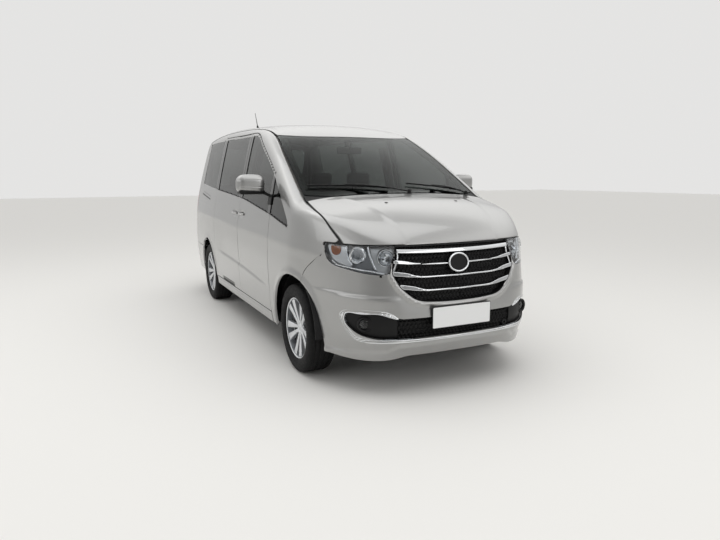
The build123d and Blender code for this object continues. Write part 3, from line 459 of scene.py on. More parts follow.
def make(name, part, finish, body="body_shell", hides=()):
    """A mesh object from points in millimetres, triangles and loop normals, riding on a body.

    Its one slot holds its finish.
    """
    verts, faces, normals = part
    mesh = bpy.data.meshes.new(name)
    mesh.vertices.add(len(verts))
    mesh.vertices.foreach_set("co", (verts / 1000).astype(np.float32).ravel())
    mesh.loops.add(faces.size)
    mesh.loops.foreach_set("vertex_index", faces.astype(np.int32).ravel())
    mesh.polygons.add(len(faces))
    mesh.polygons.foreach_set("loop_start", np.arange(0, faces.size, 3, dtype=np.int32))
    mesh.polygons.foreach_set("use_smooth", np.ones(len(faces), bool))
    mesh.update(calc_edges=True)
    mesh.normals_split_custom_set(unit(normals.reshape(-1, 3)).astype(np.float32).tolist())
    mesh.materials.append(finish)
    piece = bpy.data.objects.new(name, mesh)
    bpy.context.scene.collection.objects.link(piece)
    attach(piece, body)
    if hides:
        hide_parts(*hides)
    return piece


def door_pair(name, part, finish, hidden=None):
    """A piece for the left front door and its mirror image for the right one."""
    for side, half in (("left", part), ("right", mirrored(part))):
        make(f"{name}_{side}", half, finish, f"door_{side}", [f"{hidden}_{side}"] if hidden else ())


# ---------------------------------------------------------------- materials
def colour(code, alpha=1.0):
    """sRGB hex to a linear colour."""
    part = np.array([int(code[i:i + 2], 16) for i in (0, 2, 4)]) / 255
    linear = np.where(part <= 0.04045, part / 12.92, ((part + 0.055) / 1.055) ** 2.4)
    return (*linear.tolist(), alpha)


def node(tree, kind, links=(), **settings):
    """One shader node: settings by property or socket name, links as (socket, source socket)."""
    made = tree.nodes.new(kind)
    for key, value in settings.items():
        if key in made.inputs:
            made.inputs[key].default_value = value
        else:
            setattr(made, key, value)
    for key, source in links:
        tree.links.new(source, made.inputs[key])
    return made


def material(name, base, rough=0.4, metal=0.0, **shader):
    """A named material with its constants on the shader's own sockets."""
    made = bpy.data.materials.new(name)
    made.use_nodes = True
    tree = made.node_tree
    bsdf = tree.nodes["Principled BSDF"]
    bsdf.inputs["Base Color"].default_value = colour(base)
    bsdf.inputs["Roughness"].default_value = rough
    bsdf.inputs["Metallic"].default_value = metal
    for key, value in shader.items():
        bsdf.inputs[key.replace("_", " ")].default_value = value
    made.diffuse_color = colour(base)
    return made, tree, bsdf


def grain(tree, bsdf, size_mm, low, high, bump=0.0, detail=3.0):
    """Breaks a surface up: noise of a real size drives the roughness and a slight bump."""
    place = node(tree, "ShaderNodeTexCoord")
    noise = node(tree, "ShaderNodeTexNoise", [("Vector", place.outputs["Object"])], Scale=1000 / size_mm,
                 Detail=detail)
    spread = node(tree, "ShaderNodeMapRange", [("Value", noise.outputs["Fac"])],
                  **{"From Min": 0.3, "From Max": 0.7, "To Min": low, "To Max": high})
    tree.links.new(spread.outputs["Result"], bsdf.inputs["Roughness"])
    if bump:
        lift = node(tree, "ShaderNodeBump", [("Height", noise.outputs["Fac"])], Strength=bump,
                    Distance=0.001)
        tree.links.new(lift.outputs["Normal"], bsdf.inputs["Normal"])
    return noise


def mottle(tree, bsdf, size_mm, first, second, detail=2.0):
    """Lets a colour drift between two shades over patches of a real size."""
    place = node(tree, "ShaderNodeTexCoord")
    noise = node(tree, "ShaderNodeTexNoise", [("Vector", place.outputs["Object"])], Scale=1000 / size_mm,
                 Detail=detail)
    tint = node(tree, "ShaderNodeMixRGB", [("Fac", noise.outputs["Fac"])], Color1=colour(first),
                Color2=colour(second))
    tree.links.new(tint.outputs["Color"], bsdf.inputs["Base Color"])


# silver metallic paint: pale flakes under clear lacquer, a soft broad sheen with a sharp top coat
paint, tree, bsdf = material("silver_metallic_paint", "A4A4A3", 0.3, 0.8, Coat_Weight=1.0,
                             Coat_Roughness=0.03)
place = node(tree, "ShaderNodeTexCoord")
flake = node(tree, "ShaderNodeTexVoronoi", [("Vector", place.outputs["Object"])], Scale=1800.0)
tint = node(tree, "ShaderNodeMixRGB", [("Fac", flake.outputs["Distance"])], Color1=colour("AEAEAD"),
            Color2=colour("949493"))
tree.links.new(tint.outputs["Color"], bsdf.inputs["Base Color"])
spread = node(tree, "ShaderNodeMapRange", [("Value", flake.outputs["Distance"])],
              **{"To Min": 0.26, "To Max": 0.36})
tree.links.new(spread.outputs["Result"], bsdf.inputs["Roughness"])

# bright chrome trim: mirror-like with the faintest uneven polish
chrome, tree, bsdf = material("chrome_plate", "DADCDE", 0.06, 1.0)
grain(tree, bsdf, 30, 0.04, 0.09)
# side glass: privacy-tinted float glass, lets the cabin show through darkly
side_glass, tree, bsdf = material("tinted_glass", "747876", 0.0, 0.0, Transmission_Weight=1.0, IOR=1.45)
mottle(tree, bsdf, 400, "787C7A", "707472")
# windscreen: laminated glass, faint green; its IOR is set low because the real one mirrors a dark ceiling
screen_glass, tree, bsdf = material("windscreen_glass", "8E9693", 0.0, 0.0, Transmission_Weight=1.0,
                                    IOR=1.18)
mottle(tree, bsdf, 400, "929A97", "8A928F")
# clear moulded lens of the lamps
lens_glass, tree, bsdf = material("clear_lens", "F4F6F8", 0.0, 0.0, Transmission_Weight=1.0, IOR=1.45)
mottle(tree, bsdf, 200, "F7F9FB", "F0F2F4")
# gloss black: lacquered post trims and printed glass borders
gloss_black, tree, bsdf = material("gloss_black", "08090A", 0.1, 0.0, Coat_Weight=0.6)
grain(tree, bsdf, 60, 0.08, 0.14)
# satin black moulded plastic with a fine grain
plastic, tree, bsdf = material("moulded_black_plastic", "060607", 0.5, Specular_IOR_Level=0.3)
grain(tree, bsdf, 1.2, 0.42, 0.6, 0.15)
# black rubber of seals and blades
rubber, tree, bsdf = material("black_rubber", "0E0F10", 0.65)
grain(tree, bsdf, 3, 0.55, 0.75, 0.1)
# tyre rubber: dark grey with a dusty unevenness
tyre_rubber, tree, bsdf = material("tyre_rubber", "070708", 0.8, Specular_IOR_Level=0.3)
grain(tree, bsdf, 12, 0.6, 0.82, 0.12)
# machined alloy faces: fine turning lines round the hub
alloy, tree, bsdf = material("machined_alloy", "DCDEE0", 0.34, 0.75)
grain(tree, bsdf, 4, 0.28, 0.42)
# near-black behind the spokes: the pockets' dark paint, and painted shade where the disc closes the openings
# that show the wheel's shaded inside; also the fog lamps' painted dark inside
dark_paint_and_shade, tree, bsdf = material("dark_paint_and_painted_shade", "0A0A0B", 0.5, 0.0, Specular_IOR_Level=0.2)
grain(tree, bsdf, 6, 0.34, 0.5)
# silver inner barrel
barrel, tree, bsdf = material("cast_alloy", "8F9296", 0.42, 0.9)
grain(tree, bsdf, 8, 0.36, 0.5, 0.1)
# aluminised lamp bowls and plates: bright, a little soft
bright_plate, tree, bsdf = material("aluminised_plastic", "D2D4D6", 0.32, 0.8)
grain(tree, bsdf, 15, 0.28, 0.38)
# cast iron and steel under the car
iron, tree, bsdf = material("cast_iron", "4A4A4B", 0.6, 0.7)
grain(tree, bsdf, 5, 0.45, 0.75, 0.2)
steel, tree, bsdf = material("zinc_coated_steel", "6E7174", 0.5, 0.6)
grain(tree, bsdf, 25, 0.42, 0.6)
# underbody: black anti-chip coating over pressed steel, slightly pebbled
coating, tree, bsdf = material("underbody_coating", "121213", 0.8)
grain(tree, bsdf, 6, 0.7, 0.9, 0.3)
# seat cloth: grey weave
cloth, tree, bsdf = material("grey_seat_cloth", "6F6E6C", 0.9, Sheen_Weight=0.25)
grain(tree, bsdf, 2.5, 0.8, 0.95, 0.4)
mottle(tree, bsdf, 2.5, "4C4B4A", "6A6866")
# cabin plastic: light grey, lightly grained
trim_grey, tree, bsdf = material("grey_cabin_plastic", "4E4D4B", 0.6)
grain(tree, bsdf, 1.6, 0.52, 0.68, 0.2)
dark_trim, tree, bsdf = material("dark_cabin_plastic", "1E1E1F", 0.55)
grain(tree, bsdf, 1.6, 0.48, 0.66, 0.2)
# white enamel of the blank plate
enamel, tree, bsdf = material("white_plate_enamel", "EEEFEF", 0.35)
grain(tree, bsdf, 40, 0.3, 0.42)
# amber and red lamp plastic
amber, tree, bsdf = material("amber_lens", "B4683A", 0.14, Transmission_Weight=0.35)
grain(tree, bsdf, 20, 0.1, 0.18)
red, tree, bsdf = material("red_lens", "9C1018", 0.1, Coat_Weight=0.5, Transmission_Weight=0.2)
grain(tree, bsdf, 30, 0.08, 0.14)

# the carried-over nodes that stay in sight get finishes of their own
KEPT_NODES = {coating: ["floor_pan", "front_subframe", "pillars_and_sills"],
              iron: ["engine_block", "rear_axle_beam", "knuckle_left", "knuckle_right"],
              steel: ["exhaust"],
              plastic: ["wheelhouse_liners", "fuel_tank"],
              gloss_black: ["suspension_springs", "seat_frames"]}
for finish, names in KEPT_NODES.items():
    for name in names:
        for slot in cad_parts[name].material_slots:
            slot.material = finish


# ---------------------------------------------------------------- panel outlines
def line_points(line, u0, u1, rise=0.0, count=14):
    """Points (x, z) along one of the side's curves, raised if asked."""
    return [(ahead(u), float(line(u)) + rise) for u in np.linspace(u0, u1, count)]


def window(rear_low, rear_top, front_top, front_low):
    """A side window's outline between the belt line and the cant rail, from its four corners."""
    low = line_points(BELT, rear_low, front_low)
    top = line_points(CANT, front_top, rear_top)
    return loop(low, [low[-1], top[0]], top, [top[-1], low[0]])


def side_door(rear, front, lean=0.0, rise=30.0, foot=SILL_TOP):
    """A side door's outline from its two upright seams; the front one leans back above the belt line."""
    top = line_points(CANT, front - lean, rear, rise)
    belt = (ahead(front), float(BELT(front)))
    return loop(top, [top[-1], (ahead(rear), foot)], [(ahead(rear), foot), (ahead(front), foot)],
                [(ahead(front), foot), belt], [belt, top[0]])


LAMP_SIDE = [(398, 1003), (408, 958), (418, 922), (454, 878), (562, 845), (685, 821), (777, 807), (880, 793)]
FENDER_SEAM = [(156, 700), (172, 744), (200, 785), (287, 856), (346, 900), (386, 930), (406, 962),
               (398, 1003)]
GRILLE_HALF = [[(446, 1004), (456, 950), (474, 890), (482, 842), (480, 815), (468, 786)],
               [(462, 776), (438, 735), (400, 696), (360, 664)], [(345, 654), (310, 640), (273, 632)],
               [(260, 630), (130, 622), (0, 620)]]
INTAKE_HALF = [[(0, 386), (300, 387), (480, 386), (590, 396)],
               [(600, 398), (668, 418), (712, 452), (738, 492)],
               [(741, 505), (742, 530), (734, 548)], [(722, 556), (640, 562), (540, 558), (500, 548)],
               [(490, 544), (460, 530), (440, 526)], [(430, 524), (200, 522), (0, 521)]]
CHIN_HALF = [(0, 266), (300, 265), (380, 262), (450, 246), (560, 235), (700, 240), (830, 258), (1000, 270)]
SCREEN_LOW = [(-95, -752), (-45, -600), (-22, -400), (-12, 0), (-22, 400), (-45, 600), (-95, 752)]
SCREEN_TOP = [(-1009, 652), (-963, 524), (-914, 200), (-910, 0), (-914, -200), (-963, -524), (-1009, -652)]
HOOD_REAR = [(-4, -745), (-12, -656), (-5, -450), (14, -176), (22, 0), (14, 176), (-5, 450), (-12, 656),
             (-4, 745)]
front_window_line = inside(window(-1440, -1440, -592, -592))
sliding_window_line = inside(window(-2480, -2480, -1560, -1560))
rear_window_line = inside(window(-3450, -3415, -2600, -2600))
quarter_window_line = inside(window(-536, -536, -105, -80))
front_door_line = inside(side_door(DOOR_SPLIT, DOOR_FRONT, 22))
sliding_door_line = inside(side_door(SLIDER_REAR, DOOR_SPLIT))
arch_front = circle(FRONT_AXLE, HUB_Z, ARCH)
arch_rear = circle(REAR_AXLE, HUB_Z, ARCH)
fender_end = [(ahead(u), z) for u, z in FENDER_SEAM]


def seam_outline(x0, x1, z_low, count):
    """The part of the flank below the roof seam, as an outline in (x, z)."""
    x = np.linspace(x0, x1, count)
    z = top_map(x, SEAM(x - FRONT_AXLE))[:, 2]
    return np.concatenate([[(x0, z_low)], np.stack([x, z], 1), [(x1, z_low)]])


# ---------------------------------------------------------------- flank shape: creases, arch lips
def ridge(distance, width):
    """A bell of height one over a distance: e to minus the square of distance over width."""
    return np.exp(-(distance / width) ** 2)


LOW_CREASE = curve([(-2150, 640), (-1700, 660), (-1005, 668), (-200, 640), (500, 600), (1015, 562),
                    (1300, 556)])
HIGH_CREASE = curve([(-2300, 1010), (-1000, 985), (500, 950), (1500, 935), (2100, 905)])
HANDLE_Z = 1092.0
HANDLES = (200.0, -45.0)


def flank_wave(x, z):
    """Flared lips at the arches, a sunken run below the lower crease, a soft shoulder line, handle cups."""
    lips = 0.0
    for axle in (FRONT_AXLE, REAR_AXLE):
        out = np.hypot(x - axle, z - HUB_Z) - ARCH
        lips = lips + 7.0 * ridge(np.maximum(out - 14, 0), 26) * (z > 230)
    fade = np.clip((1120 - x) / 260, 0, 1) * np.clip((x + 830) / 300, 0, 1)
    drop = z - LOW_CREASE(x)
    scoop = -9.0 * fade * ridge(drop, np.where(drop > 0, 150, 20))
    shoulder = 3.2 * ridge(z - HIGH_CREASE(x), 40)
    cups = sum(-9.0 * np.exp(-(((x - at) / 58) ** 4) - ((z - HANDLE_Z) / 26) ** 4) for at in HANDLES)
    return lips + scoop + shoulder + cups


CREASE_LINES = [lambda x, z, below=below: z - LOW_CREASE(x) + below for below in (0, 12, 24, 38)]


def side_panel(field, x0, x1, z0, z1, cell, wave=flank_wave, **more):
    """A painted panel of the left side, smaller than its opening by the seam."""
    return panel(side_map, grown(field, -SEAM_GAP), x0, x1, z0, z1, cell, PANEL_WALL, wave=wave, **more)


fender_top = [(ahead(DOOR_FRONT), 1100.0), (ahead(560), 1100.0), (ahead(560), 1003.0)]
fender_foot = [(ahead(230), 560.0), (ahead(0), 330.0), (ahead(0), 200.0), (ahead(DOOR_FRONT), 200.0)]
fender_line = inside(np.concatenate([fender_top, smooth(fender_end)[::-1], fender_foot]))
front_door = side_panel(both(front_door_line, without(front_window_line)), ahead(DOOR_SPLIT - 10),
                        ahead(DOOR_FRONT + 10), 335, 1860, 23, levels=CREASE_LINES)
door_pair("front_door_skin", front_door, paint, "front_door")
sliding_door = side_panel(both(sliding_door_line, without(sliding_window_line), without(arch_rear)),
                          ahead(SLIDER_REAR - 10), ahead(DOOR_SPLIT + 10), 335, 1880, 23,
                          levels=CREASE_LINES)
make("sliding_door_skins", two(sliding_door), paint, hides=["sliding_doors"])
flank_top = inside(seam_outline(HATCH_SEAM - 5, ahead(522), 150.0, 220))
frame_zone = lambda x, z: np.maximum(fender_line(x, z), np.minimum(z - 1040, ahead(540) - x))
side_field = both(flank_top, frame_zone, without(front_door_line), without(sliding_door_line),
                  without(arch_front), without(quarter_window_line),
                  lambda x, z: x - ahead(SLIDER_REAR - 20), lambda x, z: z - 252.0)
frames = side_panel(side_field, ahead(SLIDER_REAR - 20), ahead(530), 230, 1900, 21)
make("side_frames", two(frames), paint, hides=["front_fenders"])
sill_field = both(lambda x, z: SILL_TOP - z, lambda x, z: z - 251, lambda x, z: x - (REAR_AXLE + ARCH - 30),
                  lambda x, z: ahead(DOOR_FRONT) - x, without(arch_rear))
sill = side_panel(sill_field, REAR_AXLE + ARCH - 40, ahead(DOOR_FRONT + 10), 245, 350, 17, inset=-2.5,
                  wave=lambda x, z: -2.0 * ridge(z - 318, 5))
make("sill_skins", two(sill), paint)
STEP_Z = 366.0
step_field = lambda x, z: np.minimum.reduce([24 - np.abs(z - STEP_Z), x + 640, -150 - x])
step_trim = panel(side_map, step_field, -650, -140, 335, 400, 7, 6, inset=-1.5, rounding=3,
                  wave=lambda x, z: -2.5 * ridge((z - STEP_Z) % 16 - 8, 3.5))
make("sliding_door_step_trims", two(step_trim), plastic)


def seal(name, place, line, u0, u1, v0, v1, out, into, depth, *limits):
    """A rubber seal under the skin along an opening's line, reaching so far outside it and so far inside."""
    band = both(lambda u, v: np.minimum(line(u, v) + out, into - line(u, v)), *limits)
    make(name, two(panel(place, band, u0, u1, v0, v1, 20, 8, inset=depth, rounding=0)), rubber)


seal("front_door_seals", side_map, front_door_line, ahead(DOOR_SPLIT - 30), ahead(DOOR_FRONT + 30), 320,
     1880, 24, 12, 17)
seal("sliding_door_seals", side_map, sliding_door_line, ahead(SLIDER_REAR - 30), ahead(DOOR_SPLIT + 20), 320,
     1890, 24, 12, 19, without(circle(REAR_AXLE, HUB_Z, ARCH + 34)))

# ---------------------------------------------------------------- rear quarter, tail, hatch
quarter_map = polar_map(-880.0, -1, 700.0)
BUMPER_TOP = 600.0
HATCH_HALF = [(700, 600), (742, 900), (738, 1250), (700, 1600), (668, 1800), (650, 2100)]
REAR_GLASS_HALF = [(0, 1338), (350, 1341), (600, 1350), (622, 1500), (592, 1760), (300, 1782), (0, 1786)]


def on_map(place, *fields):
    """Fields of the 3-D point, taken on a map's two parameters."""
    return lambda u, v: np.minimum.reduce([f(*np.moveaxis(place(u, v), -1, 0)) for f in fields])


def closed(*runs):
    """A left half outline in (y, z), made of smooth runs that follow on, made whole."""
    half = np.concatenate([smooth(run, 40) for run in runs])
    return np.concatenate([half, (half * [-1, 1])[::-1]])


def hatch_side(z):
    """The tailgate's half width at a height."""
    y, height = smooth(HATCH_HALF, 60).T
    return np.interp(z, height, y)


def quarter_wave(w, z):
    """The flank's wave, carried round the rear corner as far as the tail."""
    point = quarter_map(w, z)
    return flank_wave(point[..., 0], z) * (point[..., 0] > -2300)


lamp_x = TAIL_X + 330
lamp_front = smooth([(960, lamp_x - 30), (1110, lamp_x), (1270, lamp_x - 20)], 20)
tail_lamp_zone = lambda x, y, z: np.minimum.reduce([np.interp(z, lamp_front[:, 0], lamp_front[:, 1]) - x,
                                                    z - 942 - (x - TAIL_X) * 0.04,
                                                    1290 - (x - TAIL_X) * 0.06 - z])
behind_hatch = lambda x, y, z: np.minimum(hatch_side(z) - np.abs(y), HATCH_SEAM - x)
quarter_field = on_map(quarter_map,
                       lambda x, y, z: ahead(SLIDER_REAR) - x,
                       lambda x, y, z: -front_door_line(x, z),
                       lambda x, y, z: -rear_window_line(x, z),
                       lambda x, y, z: -sliding_door_line(x, z),
                       lambda x, y, z: -arch_rear(x, z),
                       lambda x, y, z: y - SEAM(x - FRONT_AXLE),
                       lambda x, y, z: -behind_hatch(x, y, z),
                       lambda x, y, z: -tail_lamp_zone(x, y, z),
                       lambda x, y, z: np.maximum(z - BUMPER_TOP, np.minimum(x - REAR_AXLE, z - SILL_TOP)))
quarter = panel(quarter_map, grown(quarter_field, -SEAM_GAP), 550, 2270, 335, 1960, 26, PANEL_WALL,
                wave=quarter_wave)
make("rear_quarter_skins", two(quarter), paint, hides=["body_sides"])
bumper_field = on_map(quarter_map, lambda x, y, z: -arch_rear(x, z), lambda x, y, z: (REAR_AXLE - 40) - x,
                      lambda x, y, z: BUMPER_TOP - z, lambda x, y, z: z - 262 - 12 * (np.abs(y) / 800) ** 2)


def tail_wave(w, z):
    """The flank's wave with a step along the bumper's top, on the tail."""
    point = quarter_map(w, z)
    rear = np.clip((-2300 - point[..., 0]) / 60, 0, 1)
    return quarter_wave(w, z) + rear * 4 * ridge(z - 560, 40)


rear_skin = panel(quarter_map, grown(bumper_field, -SEAM_GAP), -1900, 1900, 240, 610, 24, PANEL_WALL,
                  wave=tail_wave)
make("rear_bumper_skin", rear_skin, paint, hides=["rear_bumper"])
rear_glass_line = inside(closed(REAR_GLASS_HALF))
hatch_outline = on_map(quarter_map, lambda x, y, z: hatch_side(z) - np.abs(y),
                       lambda x, y, z: HATCH_SEAM - x, lambda x, y, z: z - BUMPER_TOP)
hatch_field = both(hatch_outline, on_map(quarter_map, lambda x, y, z: -rear_glass_line(y, z)))
hatch = panel(quarter_map, grown(hatch_field, -SEAM_GAP), -850, 850, 590, 1960, 27, PANEL_WALL)
make("tailgate_skin", hatch, paint, "hatch", ["tailgate"])
hatch_glass_field = on_map(quarter_map, lambda x, y, z: rear_glass_line(y, z) + 4)
hatch_glass = panel(quarter_map, hatch_glass_field, -760, 760, 1320, 1800, 24, 5, inset=GLASS_INSET,
                    rounding=0)
make("tailgate_pane", hatch_glass, side_glass, "hatch", ["tailgate_glass"])
lamp_field = on_map(quarter_map, tail_lamp_zone, lambda x, y, z: -behind_hatch(x, y, z))
lamp = panel(quarter_map, grown(lamp_field, -SEAM_GAP), 600, 1300, 900, 1300, 14, 24)
make("tail_lamp_lenses", two(lamp), red, hides=["tail_lamps"])

# ---------------------------------------------------------------- roof, windscreen, cowl
def across_at(points):
    """A line across the car given as (ahead of the axle, y): x against y."""
    u, y = np.array(sorted(points, key=lambda p: p[1]), float).T
    line = curve(list(zip(y, u)))
    return lambda y: ahead(line(np.clip(y, -790, 790)))


screen_top, screen_low, hood_rear = across_at(SCREEN_TOP), across_at(SCREEN_LOW), across_at(HOOD_REAR)
within = lambda x, y: SEAM(x - FRONT_AXLE) - np.abs(y)


def roof_wave(x, y):
    """Two shallow channels along the roof, which fade out at both ends."""
    fade = np.clip((x + 2000) / 200, 0, 1) * np.clip((560 - x) / 160, 0, 1)
    return -3.0 * ridge(np.abs(y) - 590, 14) * fade


roof_field = lambda x, y: np.minimum.reduce([within(x, y), screen_top(y) - x, x - HATCH_SEAM])
roof = panel(top_map, grown(roof_field, -SEAM_GAP), -2080, 700, -700, 700, 34, PANEL_WALL, wave=roof_wave)
make("roof_skin", roof, paint, hides=["roof_panel"])
screen_field = lambda x, y: np.minimum.reduce([within(x, y), x - screen_top(y), screen_low(y) - x])
screen = panel(top_map, grown(screen_field, -3), 570, 1590, -760, 760, 26, 5, inset=4.0, rounding=0)
make("windscreen_pane", screen, screen_glass, hides=["windscreen"])
clear = lambda x, y: np.minimum.reduce([within(x, y) - 34, x - screen_top(y) - 42, screen_low(y) - x - 62])
border_field = lambda x, y: np.minimum(screen_field(x, y) - 4, -clear(x, y))
border = panel(top_map, border_field, 570, 1590, -760, 760, 20, 2, inset=9.5, rounding=0)
make("windscreen_border", border, gloss_black)
cowl_field = lambda x, y: np.minimum.reduce([within(x, y) + 4, x - screen_low(y), hood_rear(y) - x])
cowl = panel(top_map, grown(cowl_field, -1.5), 1480, 1640, -775, 775, 12, 8, inset=7.0)
make("cowl_cover", cowl, plastic, hides=["cowl_panel"])

ditch_field = lambda x, y: np.minimum.reduce([5.0 - np.abs(y - SEAM(x - FRONT_AXLE)), x - HATCH_SEAM - 4,
                                              560 - x])
ditch = panel(top_map, ditch_field, -2080, 570, 560, 760, 11, 8, inset=1.2, rounding=0)
make("roof_ditch_strips", two(ditch), rubber)

# ---------------------------------------------------------------- bonnet
BONNET_LINE = curve([(1580, 505), (1800, 470), (2050, 430), (2200, 395), (2400, 330)])


def bonnet_wave(s, y):
    """Two raised lines that draw together towards the nose, with the middle slightly proud."""
    point = hood_map(s, y)
    x = point[..., 0]
    step = np.abs(y) - BONNET_LINE(x)
    fade = np.clip((x - 1600) / 200, 0, 1)
    return fade * (4.5 / (1 + np.exp(step / 9)) + 2.0 * ridge(step, 22))


hood_field = on_map(hood_map, lambda x, y, z: SEAM(x - FRONT_AXLE) - 3.6 - np.abs(y),
                    lambda x, y, z: x - hood_rear(y) - 4, lambda x, y, z: z - BONNET_EDGE - 6)
hood = panel(hood_map, hood_field, 150, 1120, -775, 775, 20, PANEL_WALL, wave=bonnet_wave, rounding=4.0)
make("bonnet_skin", hood, paint, "hood", ["bonnet"])

# ---------------------------------------------------------------- nose
def front_outline(*runs):
    """A whole outline on the nose's map from smooth runs of its left half in (y, z)."""
    return nose_map.from_front(closed(*runs))


grille_line = inside(front_outline(*GRILLE_HALF))
intake_line = inside(front_outline(*INTAKE_HALF))
lamp_inner = smooth([(504, 800), (492, 870), (472, 930), (458, 970), (452, 1020)], 20)
lamp_low = nose_map.from_side(smooth([(ahead(u), z) for u, z in LAMP_SIDE[:-1]], 40))
lamp_low = lamp_low[lamp_low[:, 0] > nose_map.from_front([(540, 800)])[0, 0]]
lamp_in = nose_map.from_front(lamp_inner[(lamp_inner[:, 1] > 812) & (lamp_inner[:, 1] < BONNET_EDGE)])
lamp_top = [[lamp_in[-1, 0], BONNET_EDGE], [lamp_low[0, 0] - 8, BONNET_EDGE]]
lamp_shape = np.concatenate([lamp_low, lamp_in, lamp_top])
lamp_line = inside(lamp_shape)
fender_edge = nose_map.from_side(smooth(fender_end, 30))
chin_low = smooth(CHIN_HALF, 60)


def chin_z(y):
    """The height of the bumper's lower edge across the car."""
    return np.interp(np.abs(y), chin_low[:, 0], chin_low[:, 1])


CHIN_STEP = [(1, 350), (441, 343), (516, 303), (706, 296), (790, 285)]
step_w = nose_map.from_front(CHIN_STEP)[:, 0]


def chin_step(w):
    """The height of the step above the chin: low at the corners, higher across the middle."""
    return np.interp(np.abs(w), step_w, [z for _, z in CHIN_STEP])


def behind_seam(w, z):
    """Above zero ahead of the seam between the wing and the bumper."""
    return np.interp(z, fender_edge[:, 1], fender_edge[:, 0]) - np.abs(w)


def nose_wave(w, z):
    """The bumper's brow under the lamps, the step over the chin, the grille's raised rim, the arch lips."""
    side = np.clip((np.abs(w) - 420) / 160, 0, 1)
    drop = z - np.interp(np.abs(w), [500, 1000], [652, 672])
    brow = 8.0 * side * np.clip((1180 - np.abs(w)) / 300, 0, 1) * ridge(drop, np.where(drop > 0, 12, 60))
    ledge = 10.0 / (1 + np.exp((z - chin_step(w)) / 3.5)) * np.clip((1200 - np.abs(w)) / 200, 0, 1)
    frame_ridge = 13.0 * ridge(grille_line(w, z) + 17, 12) * np.clip((850 - z) / 30, 0, 1)
    out = np.hypot(nose_map(w, z)[..., 0] - FRONT_AXLE, z - HUB_Z) - ARCH
    return brow + ledge + frame_ridge + 7.0 * ridge(np.maximum(out - 14, 0), 26)


nose_field = lambda w, z: np.minimum.reduce([
    behind_seam(w, z), BONNET_EDGE - z, -grille_line(w, z), -intake_line(w, z), -lamp_line(np.abs(w), z),
    z - chin_z(nose_map(w, z)[..., 1]), -arch_front(nose_map(w, z)[..., 0], z)])
nose = panel(nose_map, grown(nose_field, -SEAM_GAP), -1480, 1480, 228, 1000, 16, PANEL_WALL, wave=nose_wave,
             levels=[lambda w, z: z - chin_step(w) + 6, lambda w, z: z - chin_step(w) - 6])
make("front_bumper_skin", nose, paint, hides=["front_bumper"])
lens = panel(nose_map, grown(lamp_line, -SEAM_GAP), 400, 1260, 780, 1000, 12, 4)
make("headlamp_lenses", two(lens), lens_glass, hides=["headlamps"])

# ---------------------------------------------------------------- side glass and its black trims
def pane(field, rear, front):
    """A side window's glass, set a little under the skin."""
    return panel(side_map, grown(field, 5), ahead(rear), ahead(front), 1050, 1840, 26, 4, inset=GLASS_INSET,
                 rounding=0)


door_pair("front_door_pane", pane(front_window_line, -1450, -580), side_glass, "front_door_glass")
make("sliding_door_panes", two(pane(sliding_window_line, -2490, -1550)), side_glass,
     hides=["sliding_door_glass"])
make("rear_quarter_panes", two(pane(rear_window_line, -3470, -2590)), side_glass, hides=["quarter_glass"])
make("front_quarter_panes", two(pane(quarter_window_line, -545, -70)), side_glass, hides=["quarter_glass"])


def post_cover(rear, front, rear_grid, front_grid):
    """A post's glossy cover from the window foot to the cant rail; the grid reaches a little past it."""
    field = lambda x, z: np.minimum.reduce([z - BELT(x - FRONT_AXLE) + 2, CANT(x - FRONT_AXLE) + 2 - z,
                                            x - ahead(rear), ahead(front) - x])
    return panel(side_map, field, ahead(rear_grid), ahead(front_grid), 1050, 1840, 14, 4, inset=-0.8,
                 rounding=1.5)


make("rear_post_trims", two(joined([post_cover(-2538, -2477, -2545, -2470),
                                    post_cover(-2603, -2542, -2610, -2535)])), gloss_black)
make("sliding_door_posts", two(post_cover(-1563, -1502.5, -1570, -1495)), gloss_black)
door_pair("front_door_post_trims", joined([post_cover(-1497.5, -1437, -1500, -1430),
                                           post_cover(-595, -532, -600, -525)]), gloss_black)

# ---------------------------------------------------------------- generic solids
def full_turn(sides):
    """Evenly spread angles of one turn, without the last that repeats the first."""
    return np.linspace(0, 2 * np.pi, sides, endpoint=False)


def grid_part(points, around=False, along=False, caps=(False, False)):
    """A surface over an (n, m) grid of points, closed round either way, with fan caps at its ends."""
    n, m = points.shape[:2]
    verts = points.reshape(-1, 3)
    rows = np.arange(n if along else n - 1)
    cols = np.arange(m if around else m - 1)
    a = (rows[:, None] * m + cols).ravel()
    b = (rows[:, None] * m + (cols + 1) % m).ravel()
    c = (((rows + 1) % n)[:, None] * m + (cols + 1) % m).ravel()
    d = (((rows + 1) % n)[:, None] * m + cols).ravel()
    tris = [np.stack([a, b, c], 1), np.stack([a, c, d], 1)]
    for which, row in enumerate((0, n - 1)):
        if caps[which]:
            centre = len(verts)
            verts = np.concatenate([verts, points[row].mean(0)[None]])
            i = row * m + np.arange(m)
            j = row * m + (np.arange(m) + 1) % m
            tris.append(np.stack([np.full(m, centre), *((j, i) if which == 0 else (i, j))], 1))
    return verts, np.concatenate(tris)


def faceted(verts, tris, sharp):
    """Loop normals by face angle: smooth where neighbours bend less than the sharp angle."""
    corner = verts[tris]
    face = np.cross(corner[:, 1] - corner[:, 0], corner[:, 2] - corner[:, 0])
    way = unit(face)
    cos = np.cos(np.radians(sharp))
    order = np.argsort(tris.ravel(), kind="stable")
    owner = order // 3
    vert = tris.ravel()[order]
    start = np.searchsorted(vert, np.arange(len(verts)))
    count = np.diff(np.append(start, len(vert)))
    normals = np.zeros((len(tris) * 3, 3))
    for k in range(int(count.max())):
        ok = k < count[vert]
        other = owner[np.minimum(start[vert] + k, len(vert) - 1)]
        near = ok & ((way[owner] * way[other]).sum(1) > cos)
        normals[order[near]] += face[other[near]]
    return verts, tris, unit(normals).reshape(-1, 3, 3)


